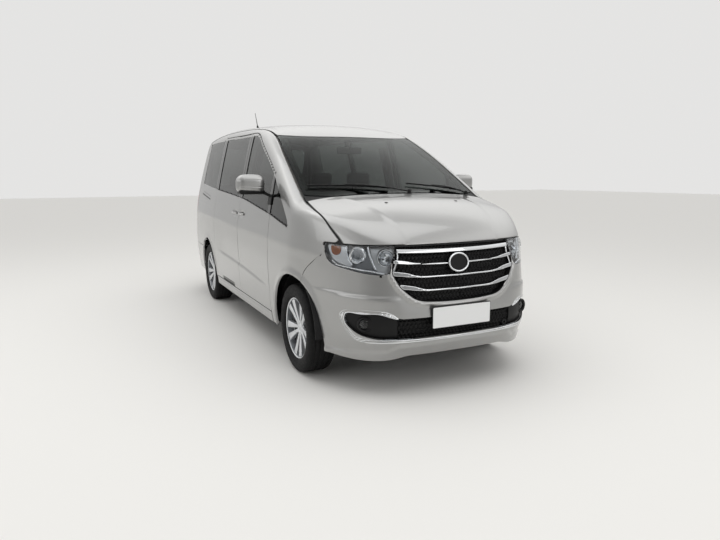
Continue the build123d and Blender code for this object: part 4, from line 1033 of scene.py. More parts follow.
def solid(verts, tris, sharp=38.0):
    """A closed solid with its faces turned outwards, told by the sign of its volume."""
    corner = verts[tris] - verts.mean(0)
    volume = (np.cross(corner[:, 0], corner[:, 1]) * corner[:, 2]).sum()
    return faceted(verts, tris if volume > 0 else tris[:, ::-1], sharp)


def tube(path, radius, sides=12, closed=False, flat=1.0, up=(0, 0, 1)):
    """A bar of round or oval section along a path, with flat capped ends; radius may vary along it."""
    path = np.array(path, float)
    count = len(path)
    way = unit(np.roll(path, -1, 0) - np.roll(path, 1, 0)) if closed else unit(np.gradient(path, axis=0))
    side = unit(np.cross(way, np.array(up, float) + 1e-6))
    lift = np.cross(side, way)
    angle = full_turn(sides)
    radius = np.broadcast_to(radius, (count,))
    ring = (side[:, None] * np.cos(angle)[None, :, None] + lift[:, None] * (flat * np.sin(angle))[None, :,
                                                                                                  None])
    points = path[:, None] + ring * radius[:, None, None]
    return faceted(*grid_part(points, around=True, along=closed, caps=(not closed, not closed)), 38.0)


def turned(profile, sides, axis="y"):
    """A grid of points turned about an axis from (radius, along) points."""
    profile = np.array(profile, float)
    angle = full_turn(sides)
    radius, along = profile[:, 0][:, None], profile[:, 1][:, None]
    a, b, c = radius * np.cos(angle), along + 0 * angle, -radius * np.sin(angle)
    return {"y": np.stack([a, b, c], -1), "x": np.stack([b, c, a], -1), "z": np.stack([c, a, b], -1)}[axis]


def turned_part(profile, sides=96, axis="y", sharp=38.0):
    """A solid turned from a closed profile."""
    return solid(*grid_part(turned(profile, sides, axis), around=True, along=True), sharp)


def moved(part, shift):
    """A part shifted in space."""
    return part[0] + np.array(shift, float), part[1], part[2]


def rotated(part, angle, axis):
    """A part turned about an axis through the origin, in degrees."""
    turn = np.array(Matrix.Rotation(np.radians(angle), 3, axis))
    return part[0] @ turn.T, part[1], part[2] @ turn.T


def outward(outline):
    """A closed outline with its outward directions in the plane and its signed area's sign."""
    outline = np.asarray(outline, float)
    way = np.roll(outline, -1, 0) - np.roll(outline, 1, 0)
    out = np.stack([way[:, 1], -way[:, 0]], 1)
    out /= np.maximum(np.linalg.norm(out, axis=1, keepdims=True), 1e-9)
    u, v = outline.T
    sign = np.sign((u * np.roll(v, -1) - np.roll(u, -1) * v).sum())
    return outline, out * sign, sign


def slab(outline, low, high, axis, bevel):
    """A flat plate with a bevelled rim from an outline; the two flat faces are fans of their middle."""
    outline, out, _ = outward(outline)
    levels = [(low, bevel), (low + bevel, 0), (high - bevel, 0), (high, bevel)]
    rows = [np.insert(outline - out * draw, "xyz".index(axis), level, axis=1) for level, draw in levels]
    return solid(*grid_part(np.array(rows), around=True, caps=(True, True)))


def rounded_box(size, radius, centre, steps, bend=None):
    """A soft box: each point is an inner box's nearest point plus the radius outwards; bent if asked."""
    size = np.array(size, float) / 2
    t = np.tan(np.linspace(-1, 1, steps) * np.pi / 4)
    faces = []
    for axis in range(3):
        for way in (-1, 1):
            a, b = np.meshgrid(t, t, indexing="ij")
            cube = np.zeros((steps, steps, 3))
            cube[..., axis] = way
            cube[..., (axis + 1) % 3] = a if way > 0 else b
            cube[..., (axis + 2) % 3] = b if way > 0 else a
            faces.append(cube)
    cube = np.concatenate([f.reshape(-1, 3) for f in faces])
    cube = cube * size
    inner = np.maximum(size - radius, 0)
    core = np.clip(cube, -inner, inner)
    verts = core + unit(cube - core) * radius
    i = (np.arange(steps - 1)[:, None] * steps + np.arange(steps - 1)).ravel()
    one = np.concatenate([np.stack([i, i + steps, i + steps + 1], 1),
                          np.stack([i, i + steps + 1, i + 1], 1)])
    tris = np.concatenate([one + k * steps * steps for k in range(6)])
    key = np.round(verts, 3)
    _, first, back = np.unique(key, axis=0, return_index=True, return_inverse=True)
    verts, tris = verts[first], back.ravel()[tris]
    tris = tris[(tris[:, 0] != tris[:, 1]) & (tris[:, 1] != tris[:, 2]) & (tris[:, 0] != tris[:, 2])]
    if bend is not None:
        verts = bend(verts)
    return moved(solid(verts, tris, 70), centre)


# ---------------------------------------------------------------- wheels
def tyre_part():
    """Turned section with two steps round the sidewall; the tread's height comes from a groove pattern."""
    half = TYRE_WIDTH / 2
    r = TYRE_RADIUS - 0.05
    sides = 180
    section = smooth([(224, -half + 24), (232, -half + 13), (252, -half + 4), (285, -half + 0.5),
                      (r - 24, -half + 5), (r - 8, -half + 17), (r - 1.5, -half + 34), (r - 0.2, -half + 60),
                      (r, 0), (r - 0.2, half - 60), (r - 1.5, half - 34), (r - 8, half - 17),
                      (r - 24, half - 5), (285, half - 0.5), (252, half - 4), (232, half - 13),
                      (224, half - 24)], 72)
    points = turned(section, sides)
    angle = full_turn(sides)[None, :]
    radius, along = section[:, 0][:, None], section[:, 1][:, None]
    tread = np.clip((radius - (r - 6)) / 4, 0, 1)
    grooves = np.zeros_like(along + angle)
    for place in (-58, -20, 20, 58):
        grooves = np.maximum(grooves, np.clip(1.6 - np.abs(along - place) / 4.0, 0, 1))
    pitch = (angle * 60 / np.pi + np.abs(along) / 14) % 2
    cross = np.clip(1.4 - np.abs(pitch - 1) * 5, 0, 1) * (np.abs(along) > 62)
    depth = tread * 6.0 * np.maximum(grooves, cross * 0.7)
    ring = 0.9 * ridge(radius - 262, 3) + 0.9 * ridge(radius - 292, 3)
    points = points - unit(points * [1, 0, 1]) * depth[..., None]
    points[..., 1] += np.sign(along) * ring
    liner = turned([(218, half - 60), (216, 0), (218, -half + 60)], sides)
    points = np.concatenate([points, liner])
    return solid(*grid_part(points, around=True, along=True), 42)


def spoke_part(lean):
    """One arm of a pair: a tapered bar that curves out from the hub and widens into the rim's edge."""
    t = np.linspace(0, 1, 22)
    radius = 34 + t * 180
    centre = 14 + 26 * t + 15 * t**2
    width = 12 + 6 * t + 13 * t**2
    face = 80 - 20 * (1 - t) ** 2 - 6 * np.sin(t * np.pi) + 3 * t
    rows = []
    right_half = [(0.5, 0), (0.86, 0.6), (1, 3.0), (1, 30)]
    for side, drop in [(-side, drop) for side, drop in right_half[::-1]] + right_half:
        rows.append(np.stack([radius, face - drop, (centre + side * width) * lean], 1))
    return solid(*grid_part(np.stack(rows, 1), around=True, caps=(True, True)), 30)


tyre = tyre_part()
spokes = joined([rotated(spoke_part(lean), 90 + 72 * k, "Y") for k in range(5) for lean in (1, -1)])
rim_edge = turned_part(smooth([(205, 30), (211, 60), (213, 76), (217, 84), (222, 87), (225.5, 88), (227, 86),
                               (226, 80), (222, 70), (218, 40)], 22))
barrel_part = turned_part([(213, 86), (209, 60), (205, 20), (203, -40), (208, -80), (219, -88), (222, -84),
                           (215, -60), (213, -20), (215, 40), (219, 80)], 96)
# a closed disc behind the spokes in near-black: painted shade in the openings between the spokes
dish = turned_part(np.concatenate([
    smooth([(20, 50), (60, 48), (110, 42), (160, 36), (206, 30)], 12), [(206, 24), (20, 24)]]))
hub_part = turned_part(np.concatenate([
    smooth([(0.5, 62), (20, 61.5), (27, 60), (29, 57)], 8), [(31, 57), (33, 60)],
    smooth([(36, 62), (48, 61), (58, 54), (64, 40)], 8), [(64, 23), (0.5, 23)]]))
bolts = []
for k in range(5):
    angle = np.radians(72 * k + 54)
    cap = turned_part([(0.5, 66), (7, 65.5), (9, 63), (9.5, 58), (9.5, 40), (0.5, 40)], 24)
    bolts.append(moved(cap, (48 * np.cos(angle), -12, 48 * np.sin(angle))))


def placed(part, x, side):
    """A wheel part made for the left side, set at its axle; the right side gets its mirror image."""
    return moved(part if side > 0 else mirrored(part), (x, side * WHEEL_Y, HUB_Z))


WHEELS = [("front_left", FRONT_AXLE, 1), ("front_right", FRONT_AXLE, -1),
          ("rear_left", REAR_AXLE, 1), ("rear_right", REAR_AXLE, -1)]
for label, *at in WHEELS:
    body = "wheel_" + label
    make("tyre_tread_" + label, placed(tyre, *at), tyre_rubber, body, ["tyre_" + label])
    make("spokes_" + label, placed(joined([spokes, rim_edge]), *at), alloy, body, ["rim_" + label])
    make("barrel_" + label, placed(barrel_part, *at), barrel, body)
    make("pockets_and_shade_" + label, placed(dish, *at), dark_paint_and_shade, body)
    make("hub_cap_" + label, placed(hub_part, *at), alloy, body)
    make("wheel_bolts_" + label, placed(joined(bolts), *at), chrome, body)


# ---------------------------------------------------------------- nose details
def skirt(place, outline, near, far, wall=2.0):
    """The side wall of an opening: a band round its outline from one depth to another, closed."""
    outline, out, sign = outward(outline)
    wide = outline + out * wall
    bands = ((outline, near), (outline, far), (wide, far), (wide, near))
    rows = [place(*line.T, depth) for line, depth in bands]
    verts, tris = grid_part(np.array(rows), around=True, along=True)
    return faceted(verts, tris if sign > 0 else tris[:, ::-1], 30)


def path_on(place, points, inset, count=40):
    """A smooth path on a map, at a depth under the form."""
    u, v = smooth(points, count).T
    return place(u, v, inset)


def honeycomb(size, depth):
    """Hexagonal cells sunk between thin walls, as a height over two parameters."""
    def height(u, v):
        a, b = u / size, v / (size * np.sqrt(3))
        one = np.hypot(a - np.round(a), (b - np.round(b)) * np.sqrt(3))
        a, b = a + 0.5, b + 0.5
        other = np.hypot(a - np.round(a), (b - np.round(b)) * np.sqrt(3))
        return -depth * np.clip((0.47 - np.minimum(one, other)) / 0.14, 0, 1)
    return height


grille_hole = front_outline(*GRILLE_HALF)
grille_back = lambda w, z: np.minimum(grille_line(w, z) + 6, 990 - z)
cells = panel(nose_map, grille_back, -500, 500, 610, 1000, 6.2, 3, inset=30, rounding=0,
              wave=honeycomb(30, 13))
make("grille_honeycomb", cells, plastic, hides=["grille_meshes"])
make("grille_opening_walls", skirt(nose_map, grille_hole, 3, 46), plastic)
BARS = [([(86, 868), (260, 872), (350, 878), (400, 884), (452, 890)], [5, 5, 5.5, 10, 11], 84),
        ([(0, 785), (200, 788), (341, 795), (400, 806), (498, 818)], [5.5, 5.5, 6.5, 13, 14], -1),
        ([(0, 697), (180, 700), (284, 705), (340, 716), (445, 732)], [5.5, 5.5, 7, 13, 15], -1)]


def grille_bar(middle, half, start):
    """A bar along its middle line, so thick at each point of it, from so far off the car's middle."""
    line = curve(middle)
    places = [w for w, _ in middle]
    field = lambda w, z: np.minimum.reduce([np.interp(np.abs(w), places, half) - np.abs(z - line(np.abs(w))),
                                            grille_line(w, z) - 2, np.abs(w) - start])
    return panel(nose_map, field, -505, 505, middle[0][1] - 30, middle[-1][1] + 30, 11, 16, inset=-1.5,
                 rounding=4.0)


bars = [grille_bar(*bar) for bar in BARS]
top_bar = np.concatenate([smooth([(478, 974), (240, 967), (0, 965), (-240, 967), (-478, 974)]),
                          smooth([(-472, 948), (-240, 941), (0, 939), (240, 941), (472, 948)])])
bars.append(panel(nose_map, inside(top_bar), -485, 485, 930, 980, 9, 16, inset=-2.0, rounding=6.0))
make("grille_bars", joined(bars), chrome, hides=["grille_slats"])

# a plain oval on the grille, leaning back with it
BADGE_Z = 870
BADGE_LEAN = 0.16
turn = full_turn(72)
badge = nose_map(78 * np.cos(turn), BADGE_Z + 59 * np.sin(turn), -6)
badge_foot = BADGE_Z - 59
badge[:, 0] = badge[:, 0].max() - (badge[:, 2] - badge_foot) * BADGE_LEAN
ring = tube(badge, 6.5, 12, closed=True, up=(1, 0, 0))
make("badge_ring", ring, chrome)
disc = slab(np.stack([74 * np.cos(turn), BADGE_Z + 55 * np.sin(turn)], 1), 0, 10, "x", 3)
disc[0][:, 0] += badge[:, 0].max() - 14 - (disc[0][:, 2] - badge_foot) * BADGE_LEAN
make("badge_disc", disc, plastic)

# lower intake, fog lamps and their bright surround
intake_hole = front_outline(*INTAKE_HALF)
cells = panel(nose_map, lambda w, z: np.minimum(intake_line(w, z) + 8, 480 - np.abs(w)), -480, 480, 370, 575,
              6.4, 3, inset=42, rounding=0, wave=honeycomb(31, 13))
make("intake_honeycomb", cells, plastic)
pockets = panel(nose_map, lambda w, z: np.minimum(intake_line(w, z) + 8, w - 470), 470, 860, 370, 590, 16, 3,
                inset=34, rounding=0)
make("fog_lamp_housings", two(pockets), plastic)
make("intake_opening_walls", skirt(nose_map, intake_hole, 3, 52), plastic)
BRIGHT_OUT = [(459, 531), (507, 564), (575, 583), (734, 588), (845, 572), (881, 540), (866, 498), (819, 433),
              (765, 386), (699, 366), (600, 361), (300, 360), (0, 359)]
BRIGHT_IN = [(0, 380), (300, 381), (506, 388), (688, 397), (744, 413), (800, 458), (838, 512), (834, 538),
             (733, 555), (574, 555), (524, 540), (466, 524)]
trim = np.concatenate([smooth(BRIGHT_OUT, 90), smooth(BRIGHT_IN, 80)])
trim_line = inside(trim)
trim = panel(nose_map, lambda w, z: trim_line(np.abs(w), z), -890, 890, 350, 600, 8, 14, inset=-3.0,
             rounding=5.0, wave=lambda w, z: -4.0 * ridge(trim_line(np.abs(w), z) - 10, 3.5))
make("bumper_bright_trim", trim, chrome)


def aimed(part, place, yaw):
    """A part made to face +X, turned outwards by its yaw and set in place."""
    return moved(rotated(part, yaw, "Z"), place)


fog_place = spot(nose_map, 687, 487, 30)
fog_rim = turned_part([(34, 4), (40, 12), (46, 14), (50, 10), (52, -6), (34, -6)], 60, axis="x")
fog_lens = turned_part([(0.5, 6), (18, 5), (33, 0), (35, -6), (0.5, -6)], 60, axis="x")
# the bowls are coloured near-black: painted shade for the dark inside of the fog lamps
fog_bowl = turned_part([(33, 0), (24, -16), (10, -24), (0.5, -26), (0.5, -30), (12, -28), (28, -18),
                        (36, -2)], 60, axis="x")
make("fog_lamp_rims", two(aimed(fog_rim, fog_place, 18)), plastic)
make("fog_lamp_lenses", two(aimed(fog_lens, fog_place, 18)), lens_glass)
make("fog_lamp_bowls", two(aimed(fog_bowl, fog_place, 18)), dark_paint_and_shade)

# plate: a blank white sheet in a black frame
PLATE = (458, 137, 8)
PLATE_FRAME = (470, 148, 10)
FRONT_PLATE_Z = 519
REAR_PLATE_Z = 476


def round_rect(centre_z, width, height, radius):
    """A rectangle's outline with rounded corners, centred across the car."""
    corner = np.radians(np.arange(0, 90, 15))
    rows = []
    for k, (sx, sz) in enumerate(((1, 1), (-1, 1), (-1, -1), (1, -1))):
        a = corner + np.pi / 2 * k
        rows.append(np.stack([sx * (width / 2 - radius) + radius * np.cos(a),
                              centre_z + sz * (height / 2 - radius) + radius * np.sin(a)], 1))
    return np.concatenate(rows)


plate_x = NOSE_X - 18
front_frame = slab(round_rect(FRONT_PLATE_Z, *PLATE_FRAME), plate_x, plate_x + 6, "x", 2)
front_plate = slab(round_rect(FRONT_PLATE_Z, *PLATE), plate_x + 5, plate_x + 9, "x", 1)
rear_frame = slab(round_rect(REAR_PLATE_Z, *PLATE_FRAME), TAIL_X + 1, TAIL_X + 7, "x", 2)
rear_plate = slab(round_rect(REAR_PLATE_Z, *PLATE), TAIL_X - 2, TAIL_X + 2, "x", 1)
make("plate_frame", front_frame, plastic, hides=["number_plates"])
make("blank_plates", joined([front_plate, rear_plate]), enamel)
make("rear_plate_frame", rear_frame, plastic)

# ---------------------------------------------------------------- headlamps
tub = panel(nose_map, grown(lamp_line, 4), 400, 1260, 780, 1010, 16, 3, inset=85, rounding=0)
make("headlamp_tubs", two(tub), barrel)
make("headlamp_walls", two(skirt(nose_map, lamp_shape, 6, 88, 3.0)), gloss_black)
projector = spot(nose_map, 750, 930, 40)
bowl = turned_part([(43, 8), (40, -2), (30, -16), (27, -20), (27, -26), (32, -24), (45, -4), (49, 6),
                    (47, 10)], 72, axis="x")
ball = turned_part([(0.5, 10), (10, 8.5), (19, 3), (25, -6), (27, -18), (0.5, -20)], 60, axis="x", sharp=60)
ring_out = turned_part([(49, 10), (54, 8), (56, 0), (54, -20), (50, -20), (48, 0)], 72, axis="x")
inner_place = spot(nose_map, 557, 915, 52)
dish_part = turned_part(np.concatenate([
    smooth([(52, 22), (49, 6), (38, -12), (22, -24), (6, -30)], 16),
    [(0.5, -31), (0.5, -34), (24, -28), (42, -14), (54, 6), (56, 22)]]), 72, axis="x")
bulb = turned_part([(0.5, 4), (6, 3), (8, -4), (8, -30), (0.5, -30)], 32, axis="x")
shiny = [aimed(bowl, projector, 20), aimed(ring_out, projector, 20), aimed(dish_part, inner_place, 12),
         aimed(bulb, inner_place, 12)]
shiny.append(tube(path_on(nose_map, [(834, 985), (830, 944), (812, 903), (782, 868)], 22), 7, 10))
shiny.append(tube(path_on(nose_map, [(674, 985), (662, 940), (636, 880), (618, 843)], 22), 6.5, 10))
shiny.append(tube(path_on(nose_map, [(950, 890), (915, 868), (841, 855), (711, 838), (612, 826), (510, 818),
                                     (480, 880), (470, 930), (478, 955)], 14, 80), 6, 10))
make("headlamp_reflectors", two(joined(shiny)), chrome)
make("headlamp_projector_lenses", two(aimed(ball, projector, 20)), lens_glass)
amber_shape = smooth([(884, 985), (892, 938), (946, 926), (968, 952), (972, 985)], 20)
amber_part = panel(nose_map, inside(amber_shape), 870, 1000, 900, 1000, 10, 10, inset=26, rounding=4)
make("turn_signal_lenses", two(amber_part), amber)
silver_plate = [(470, 985), (468, 930), (480, 870), (500, 815), (618, 838), (640, 890), (668, 985)]
silver_plate = smooth(silver_plate, 40)
plate_in = panel(nose_map, both(inside(silver_plate), lambda w, z: np.hypot(w - 557, z - 919) - 56), 460,
                 690, 800, 1000, 12, 6, inset=46, rounding=3)
make("headlamp_inner_plates", two(plate_in), bright_plate)
grey_plate = [(842, 985), (840, 940), (822, 895), (790, 862), (910, 876), (960, 905), (1010, 985)]
grey_plate = smooth(grey_plate, 40)
outer_in = panel(nose_map, inside(grey_plate), 780, 1030, 850, 1000, 12, 6, inset=40, rounding=3)
make("headlamp_outer_plates", two(outer_in), bright_plate)


# ---------------------------------------------------------------- more seals and linings
seal("bonnet_seals", hood_map, lambda s, y: hood_field(s, np.abs(y)), 130, 1125, 0, 790, 16, 10, 18)
seal("tailgate_seals", quarter_map, hatch_outline, 0, 860, 590, 1950, 16, 10, 18)


def lining(place, field, u0, u1, v0, v1, depth, wall, cell=32):
    """The cabin's inner skin behind a panel, so far under the form."""
    return panel(place, field, u0, u1, v0, v1, cell, wall, inset=depth, rounding=0)


door_cards = both(grown(front_door_line, -34), grown(without(front_window_line), -6))
door_pair("front_door_card", lining(side_map, door_cards, ahead(DOOR_SPLIT), ahead(DOOR_FRONT - 10), 360,
                                    1850, 20, 30, 30), trim_grey)
slider_cards = both(grown(sliding_door_line, -34), grown(without(sliding_window_line), -6),
                    grown(without(arch_rear), -8))
make("sliding_door_cards", two(lining(side_map, slider_cards, ahead(SLIDER_REAR), ahead(DOOR_SPLIT), 360,
                                      1860, 20, 30)), trim_grey)
pillar_field = both(grown(side_field, -8), lambda x, z: x - ahead(SLIDER_REAR - 20))
make("pillar_linings", two(lining(side_map, pillar_field, ahead(SLIDER_REAR - 20), ahead(-60), 1060, 1900,
                                  17, 10)), trim_grey)
make("headliner", lining(top_map, grown(roof_field, -6), -2060, 690, -690, 690, 20, 8, 50), trim_grey)
inner_quarter = on_map(quarter_map,
                       lambda x, y, z: ahead(SLIDER_REAR - 5) - x,
                       lambda x, y, z: -rear_window_line(x, z) - 6,
                       lambda x, y, z: -sliding_door_line(x, z) - 8,
                       lambda x, y, z: SEAM(x - FRONT_AXLE) - y,
                       lambda x, y, z: x + 2300,
                       lambda x, y, z: z - 520,
                       lambda x, y, z: 8 - arch_rear(x, z))
make("quarter_linings", two(lining(quarter_map, inner_quarter, 900, 2270, 520, 1900, 22, 20)), trim_grey)

# ---------------------------------------------------------------- mirrors, handles, rails
MIRROR_X = ahead(-600)


def mirror_bend(v):
    """The housing tapers outwards, leans back and has a fuller front."""
    x, y, z = v.T
    out = (y + 116) / 232
    x = x * (1.04 - 0.16 * out) - 12 * out**2
    x = x - 2.4 * np.clip(x / 30, 0, 1) * (ridge(z + 22, 4) + ridge(z + 38, 4))
    crown = 1 - 0.16 * np.abs(2 * out - 1.1) ** 2.2
    z = np.where(z > 0, z * crown * 1.05, z * (1.0 - 0.10 * out)) - 4 * out
    return np.stack([x, y, z], 1)


cap = rounded_box((116, 222, 150), 52, (MIRROR_X + 8, 1016, 1376), steps=30, bend=mirror_bend)
skirt_part = rounded_box((104, 206, 40), 19, (MIRROR_X + 4, 1010, 1316), steps=12)
glass_rim = rounded_box((16, 196, 100), 7, (MIRROR_X - 50, 1016, 1370), steps=12)
glass_face = rounded_box((6, 180, 86), 2.8, (MIRROR_X - 57, 1016, 1370), steps=10)
arm = tube(np.array([(MIRROR_X + 26, 826, 1266), (MIRROR_X + 24, 850, 1276), (MIRROR_X + 18, 885, 1296),
                     (MIRROR_X + 10, 930, 1318)]), np.array([24, 21, 20, 26]), 16, flat=0.62)
foot_field = lambda x, z: np.minimum.reduce([46 - np.abs(x - MIRROR_X - 26), 40 - np.abs(z - 1252),
                                             z - BELT(x - FRONT_AXLE) - 6])
foot = panel(side_map, foot_field, 960, 1080, 1160, 1330, 8, 10, inset=-6, rounding=5)
door_pair("mirror_cap", cap, paint, "mirror")
door_pair("mirror_base", joined([skirt_part, arm, foot, glass_rim]), plastic)
door_pair("mirror_glass", glass_face, chrome)


def handle_part(x):
    """A grip bar that bows out between two feet."""
    t = np.linspace(-1, 1, 24)
    y = spot(side_map, x, HANDLE_Z)[1]
    path = np.stack([x + 92 * t, y + 13 - 9 * t**4, HANDLE_Z + 1.5 * t**2], 1)
    return tube(path, 9.5 + 2 * np.abs(t) ** 3, 14, flat=0.62, up=(0, 1, 0))


def handle_foot(x):
    """The two dark feet under a grip bar."""
    y = spot(side_map, x, HANDLE_Z)[1] + 2
    return joined([rounded_box((26, 18, 21), 7, (x + shift, y, HANDLE_Z), steps=8) for shift in (-78, 78)])


grips = [handle_part(x) for x in HANDLES]
feet = [handle_foot(x) for x in HANDLES]
door_pair("front_handle", grips[0], paint)
make("sliding_handles", two(grips[1]), paint)
door_pair("front_handle_feet", feet[0], plastic)
make("sliding_handle_feet", two(feet[1]), plastic)
rail_line = lambda x: 1156 + (ahead(-2620) - x) * 74 / 790
slot_field = lambda x, z: np.minimum.reduce([np.maximum(5.5 - np.abs(z - rail_line(x)),
                                                        2.6 - np.abs(z - rail_line(x) - 34)),
                                             x - ahead(-3410), ahead(-2600) - x])
slots_on_map = on_map(quarter_map, lambda x, y, z: slot_field(x, z))
slot_part = panel(quarter_map, slots_on_map, 900, 1900, 1120, 1260, 6, 3, inset=-0.6, rounding=0)
make("sliding_rail_slots", two(slot_part), rubber)


def waist(rear, front):
    """The black wiping seal along a side window's foot."""
    x0, x1 = ahead(rear), ahead(front)
    band = lambda x, z: np.minimum.reduce([5.5 - np.abs(z - BELT(x - FRONT_AXLE) - 1), x - x0, x1 - x])
    return panel(side_map, band, x0 - 10, x1 + 10, 1030, 1390, 11, 6, inset=-1.6, rounding=1.5)


door_pair("front_door_waist_seals", waist(DOOR_SPLIT + 3, DOOR_FRONT - 3), rubber)
make("sliding_door_waist_seals", two(waist(SLIDER_REAR + 3, DOOR_SPLIT - 3)), rubber)
make("quarter_waist_seals", two(waist(DOOR_FRONT + 3, -95)), rubber)


# ---------------------------------------------------------------- wipers, nozzles, aerial, cabin mirror
def on_glass(u, y, lift):
    """A point above the windscreen or the cowl, lifted along its slope."""
    return spot(top_map, ahead(u), y) + [0.4 * lift, 0, lift]


wiper_parts, rubber_parts = [], []
for pivot, low, high in (((2, 90), (-60, -60), (-178, -700)), ((-34, 655), (-75, 630), (-120, 130))):
    base = on_glass(*pivot, 14)
    share = np.linspace(0, 1, 14)[:, None]
    line = np.array([on_glass(u, y, 9) for u, y in np.linspace(low, high, 14)])
    middle = line[7] + [4, 0, 12]
    arm_path = base + (middle - base) * share + np.array([3, 0, 12]) * np.sin(np.pi * share)
    wiper_parts.append(tube(arm_path, np.linspace(10, 5.5, 14), 10, flat=0.6))
    wiper_parts.append(tube(line + [2, 0, 5], 5.5, 10, flat=0.7))
    pivot_cap = turned_part([(0.5, 16), (12, 14), (16, 4), (17, -14), (0.5, -14)], 32, axis="z")
    wiper_parts.append(moved(pivot_cap, base))
    rubber_parts.append(tube(line, 3.2, 8))
make("wiper_arms", joined(wiper_parts), plastic, hides=["wipers"])
make("wiper_rubbers", joined(rubber_parts), rubber)
nozzles = []
for side in (-1, 1):
    nozzles.append(rounded_box((26, 20, 9), 4, spot(top_map, ahead(338), side * 295) + [0, 0, 3], steps=8))
make("washer_nozzles", joined(nozzles), plastic, "hood")
roof_spot = spot(top_map, ahead(-1900), -560)
mast = tube([roof_spot + [-4 - 0.53 * h, 0, h] for h in (0, 12, 24, 70, 115, 150)],
            np.array([11, 9, 4, 3, 2.6, 2]), 12)
make("aerial_mast", mast, plastic, hides=["aerial"])
glass_spot = spot(top_map, ahead(-860), 0, 10)
rear_view = joined([rounded_box((26, 240, 62), 12, glass_spot + [-60, 0, -90], steps=12),
                    tube([glass_spot + [-2, 0, -8], glass_spot + [-30, 0, -50], glass_spot + [-56, 0, -85]],
                         8, 10)])
make("cabin_mirror", rear_view, dark_trim)


# ---------------------------------------------------------------- cabin
def seat_parts(x, y, z, width, depth=500.0, height=640.0, lean=110.0):
    """Cushion, back and headrest with raised side bolsters and a sewn centre panel; posts apart."""
    half = width / 2

    def cushion_bend(v):
        a, b, c = v.T
        top = np.clip(c / 40, 0, 1)
        bolster = 10 * np.abs(b / half) ** 3 - 5 * ridge(np.abs(b) - half * 0.62, 9)
        return np.stack([a, b, c + top * (bolster + 6 * (a / depth * 2) ** 2)], 1)

    def back_bend(v):
        a, b, c = v.T
        front = np.clip(a / 25, 0, 1)
        up = (c + height / 2) / height
        bolster = 16 * np.abs(b / half) ** 3 - 5 * ridge(np.abs(b) - half * 0.62, 9)
        return np.stack([a + front * bolster - up * lean, b * (1 - 0.10 * up**2), c], 1)

    cushion = rounded_box((depth, width, 128), 46, (x, y, z + 65), steps=16, bend=cushion_bend)
    back = rounded_box((96, width, height), 42, (x - depth / 2 - 52, y, z + 60 + height / 2), steps=16,
                       bend=back_bend)
    rest_x = x - depth / 2 - 60 - lean
    top = z + 60 + height
    rest = rounded_box((88, 246, 146), 38, (rest_x, y, top + 96), steps=11)
    posts = [tube([(rest_x, y + side, top + rise) for rise in (-20, 30, 60)], 6.5, 10) for side in (-62, 62)]
    return joined([cushion, back, rest]), joined(posts)


ROWS = [("front_seat", [(ahead(-1080), y, 600, 500) for y in (365, -365)], "front_seats"),
        ("middle_seat", [(ahead(-2080), y, 600, 500) for y in (370, -370)], "middle_seats"),
        ("rear_bench", [(ahead(-2960), y, 620, 380, 470, 600) for y in (390, 0, -390)], "rear_bench")]
for label, places, node_name in ROWS:
    seats = [seat_parts(*at) for at in places]
    soft = make(label + "_pads", joined([seat[0] for seat in seats]), cloth, hides=[node_name])
    make(label + "_headrest_posts", joined([seat[1] for seat in seats]), chrome)

dash_line = [FRONT_AXLE, 0] + np.concatenate([
    smooth([(-152, 1140), (-300, 1158), (-440, 1152), (-510, 1132), (-552, 1100), (-556, 1060),
            (-530, 1020)], 26),
    smooth([(-524, 1000), (-508, 900), (-470, 800)], 8), [(-452, 791), (-152, 791)]])
across_y = np.linspace(-705, 705, 90)[:, None]
dash_x = dash_line[:, 0][None, :] + 0 * across_y
dash_z = dash_line[:, 1][None, :] + 0 * across_y
crest = np.clip((dash_z - 1000) / 150, 0, 1) * np.clip((ahead(-330) - dash_x) / 120, 0, 1)
dash_z = dash_z + 26 * crest * ridge(across_y - 365, 150)
dash_x = dash_x - 14 * np.clip((1140 - dash_z) / 300, 0, 1) * ridge(across_y, 150)
dash_points = np.stack([dash_x, across_y + 0 * dash_x, dash_z], -1)
dash = solid(*grid_part(dash_points, around=True, caps=(True, True)), 40)
make("dashboard_shell", dash, dark_trim, hides=["dashboard"])
dials = [moved(turned_part([(38, 4), (44, 6), (48, 2), (48, -10), (38, -10)], 48, axis="x"),
               (ahead(-560), 365 + d, 1098)) for d in (-56, 56)]
make("instrument_rims", joined(dials), chrome)
vents = [rounded_box((14, 120, 60), 6, (ahead(-566), y, 1060), steps=8) for y in (620, 95, -95, -620)]
screen_block = rounded_box((14, 190, 120), 6, (ahead(-572), 0, 960), steps=8)
make("vents_and_screen", joined(vents + [screen_block]), gloss_black)

WHEEL_CENTRE = np.array([ahead(-690), 365, 1085])
axis = unit(np.array([-0.9, 0, 0.436]))
side_way = np.array([0.0, 1.0, 0.0])
up_way = np.cross(axis, side_way)
turn_basis = np.stack([side_way, up_way, axis], 1)


def on_column(part):
    """A part made about +Z, turned to the steering column and set at the wheel's centre."""
    verts, tris, normals = part
    return verts @ turn_basis.T + WHEEL_CENTRE, tris, normals @ turn_basis.T


angle = full_turn(96)
rim_path = np.stack([178 * np.cos(angle), 178 * np.sin(angle), 0 * angle], 1)
rim_part = tube(rim_path, 14.5 + 1.2 * np.cos(angle * 2) ** 8, 16, closed=True)
pad = rounded_box((150, 120, 44), 20, (0, 0, -14), steps=14)
arms = [tube([(60 * sx, 60 * sy, -16), (120 * sx, 120 * sy, -8), (172 * sx, 172 * sy, 0)], 15, 12,
             flat=0.5) for sx, sy in ((1, 0), (-1, 0), (0, 1))]
shaft = turned_part([(19, -30), (19, -178), (0.5, -178), (0.5, -30)], 40, axis="z")
make("steering_wheel_rim", on_column(joined([rim_part, pad, *arms, shaft])), dark_trim, "handwheel",
     ["steering_wheel"])

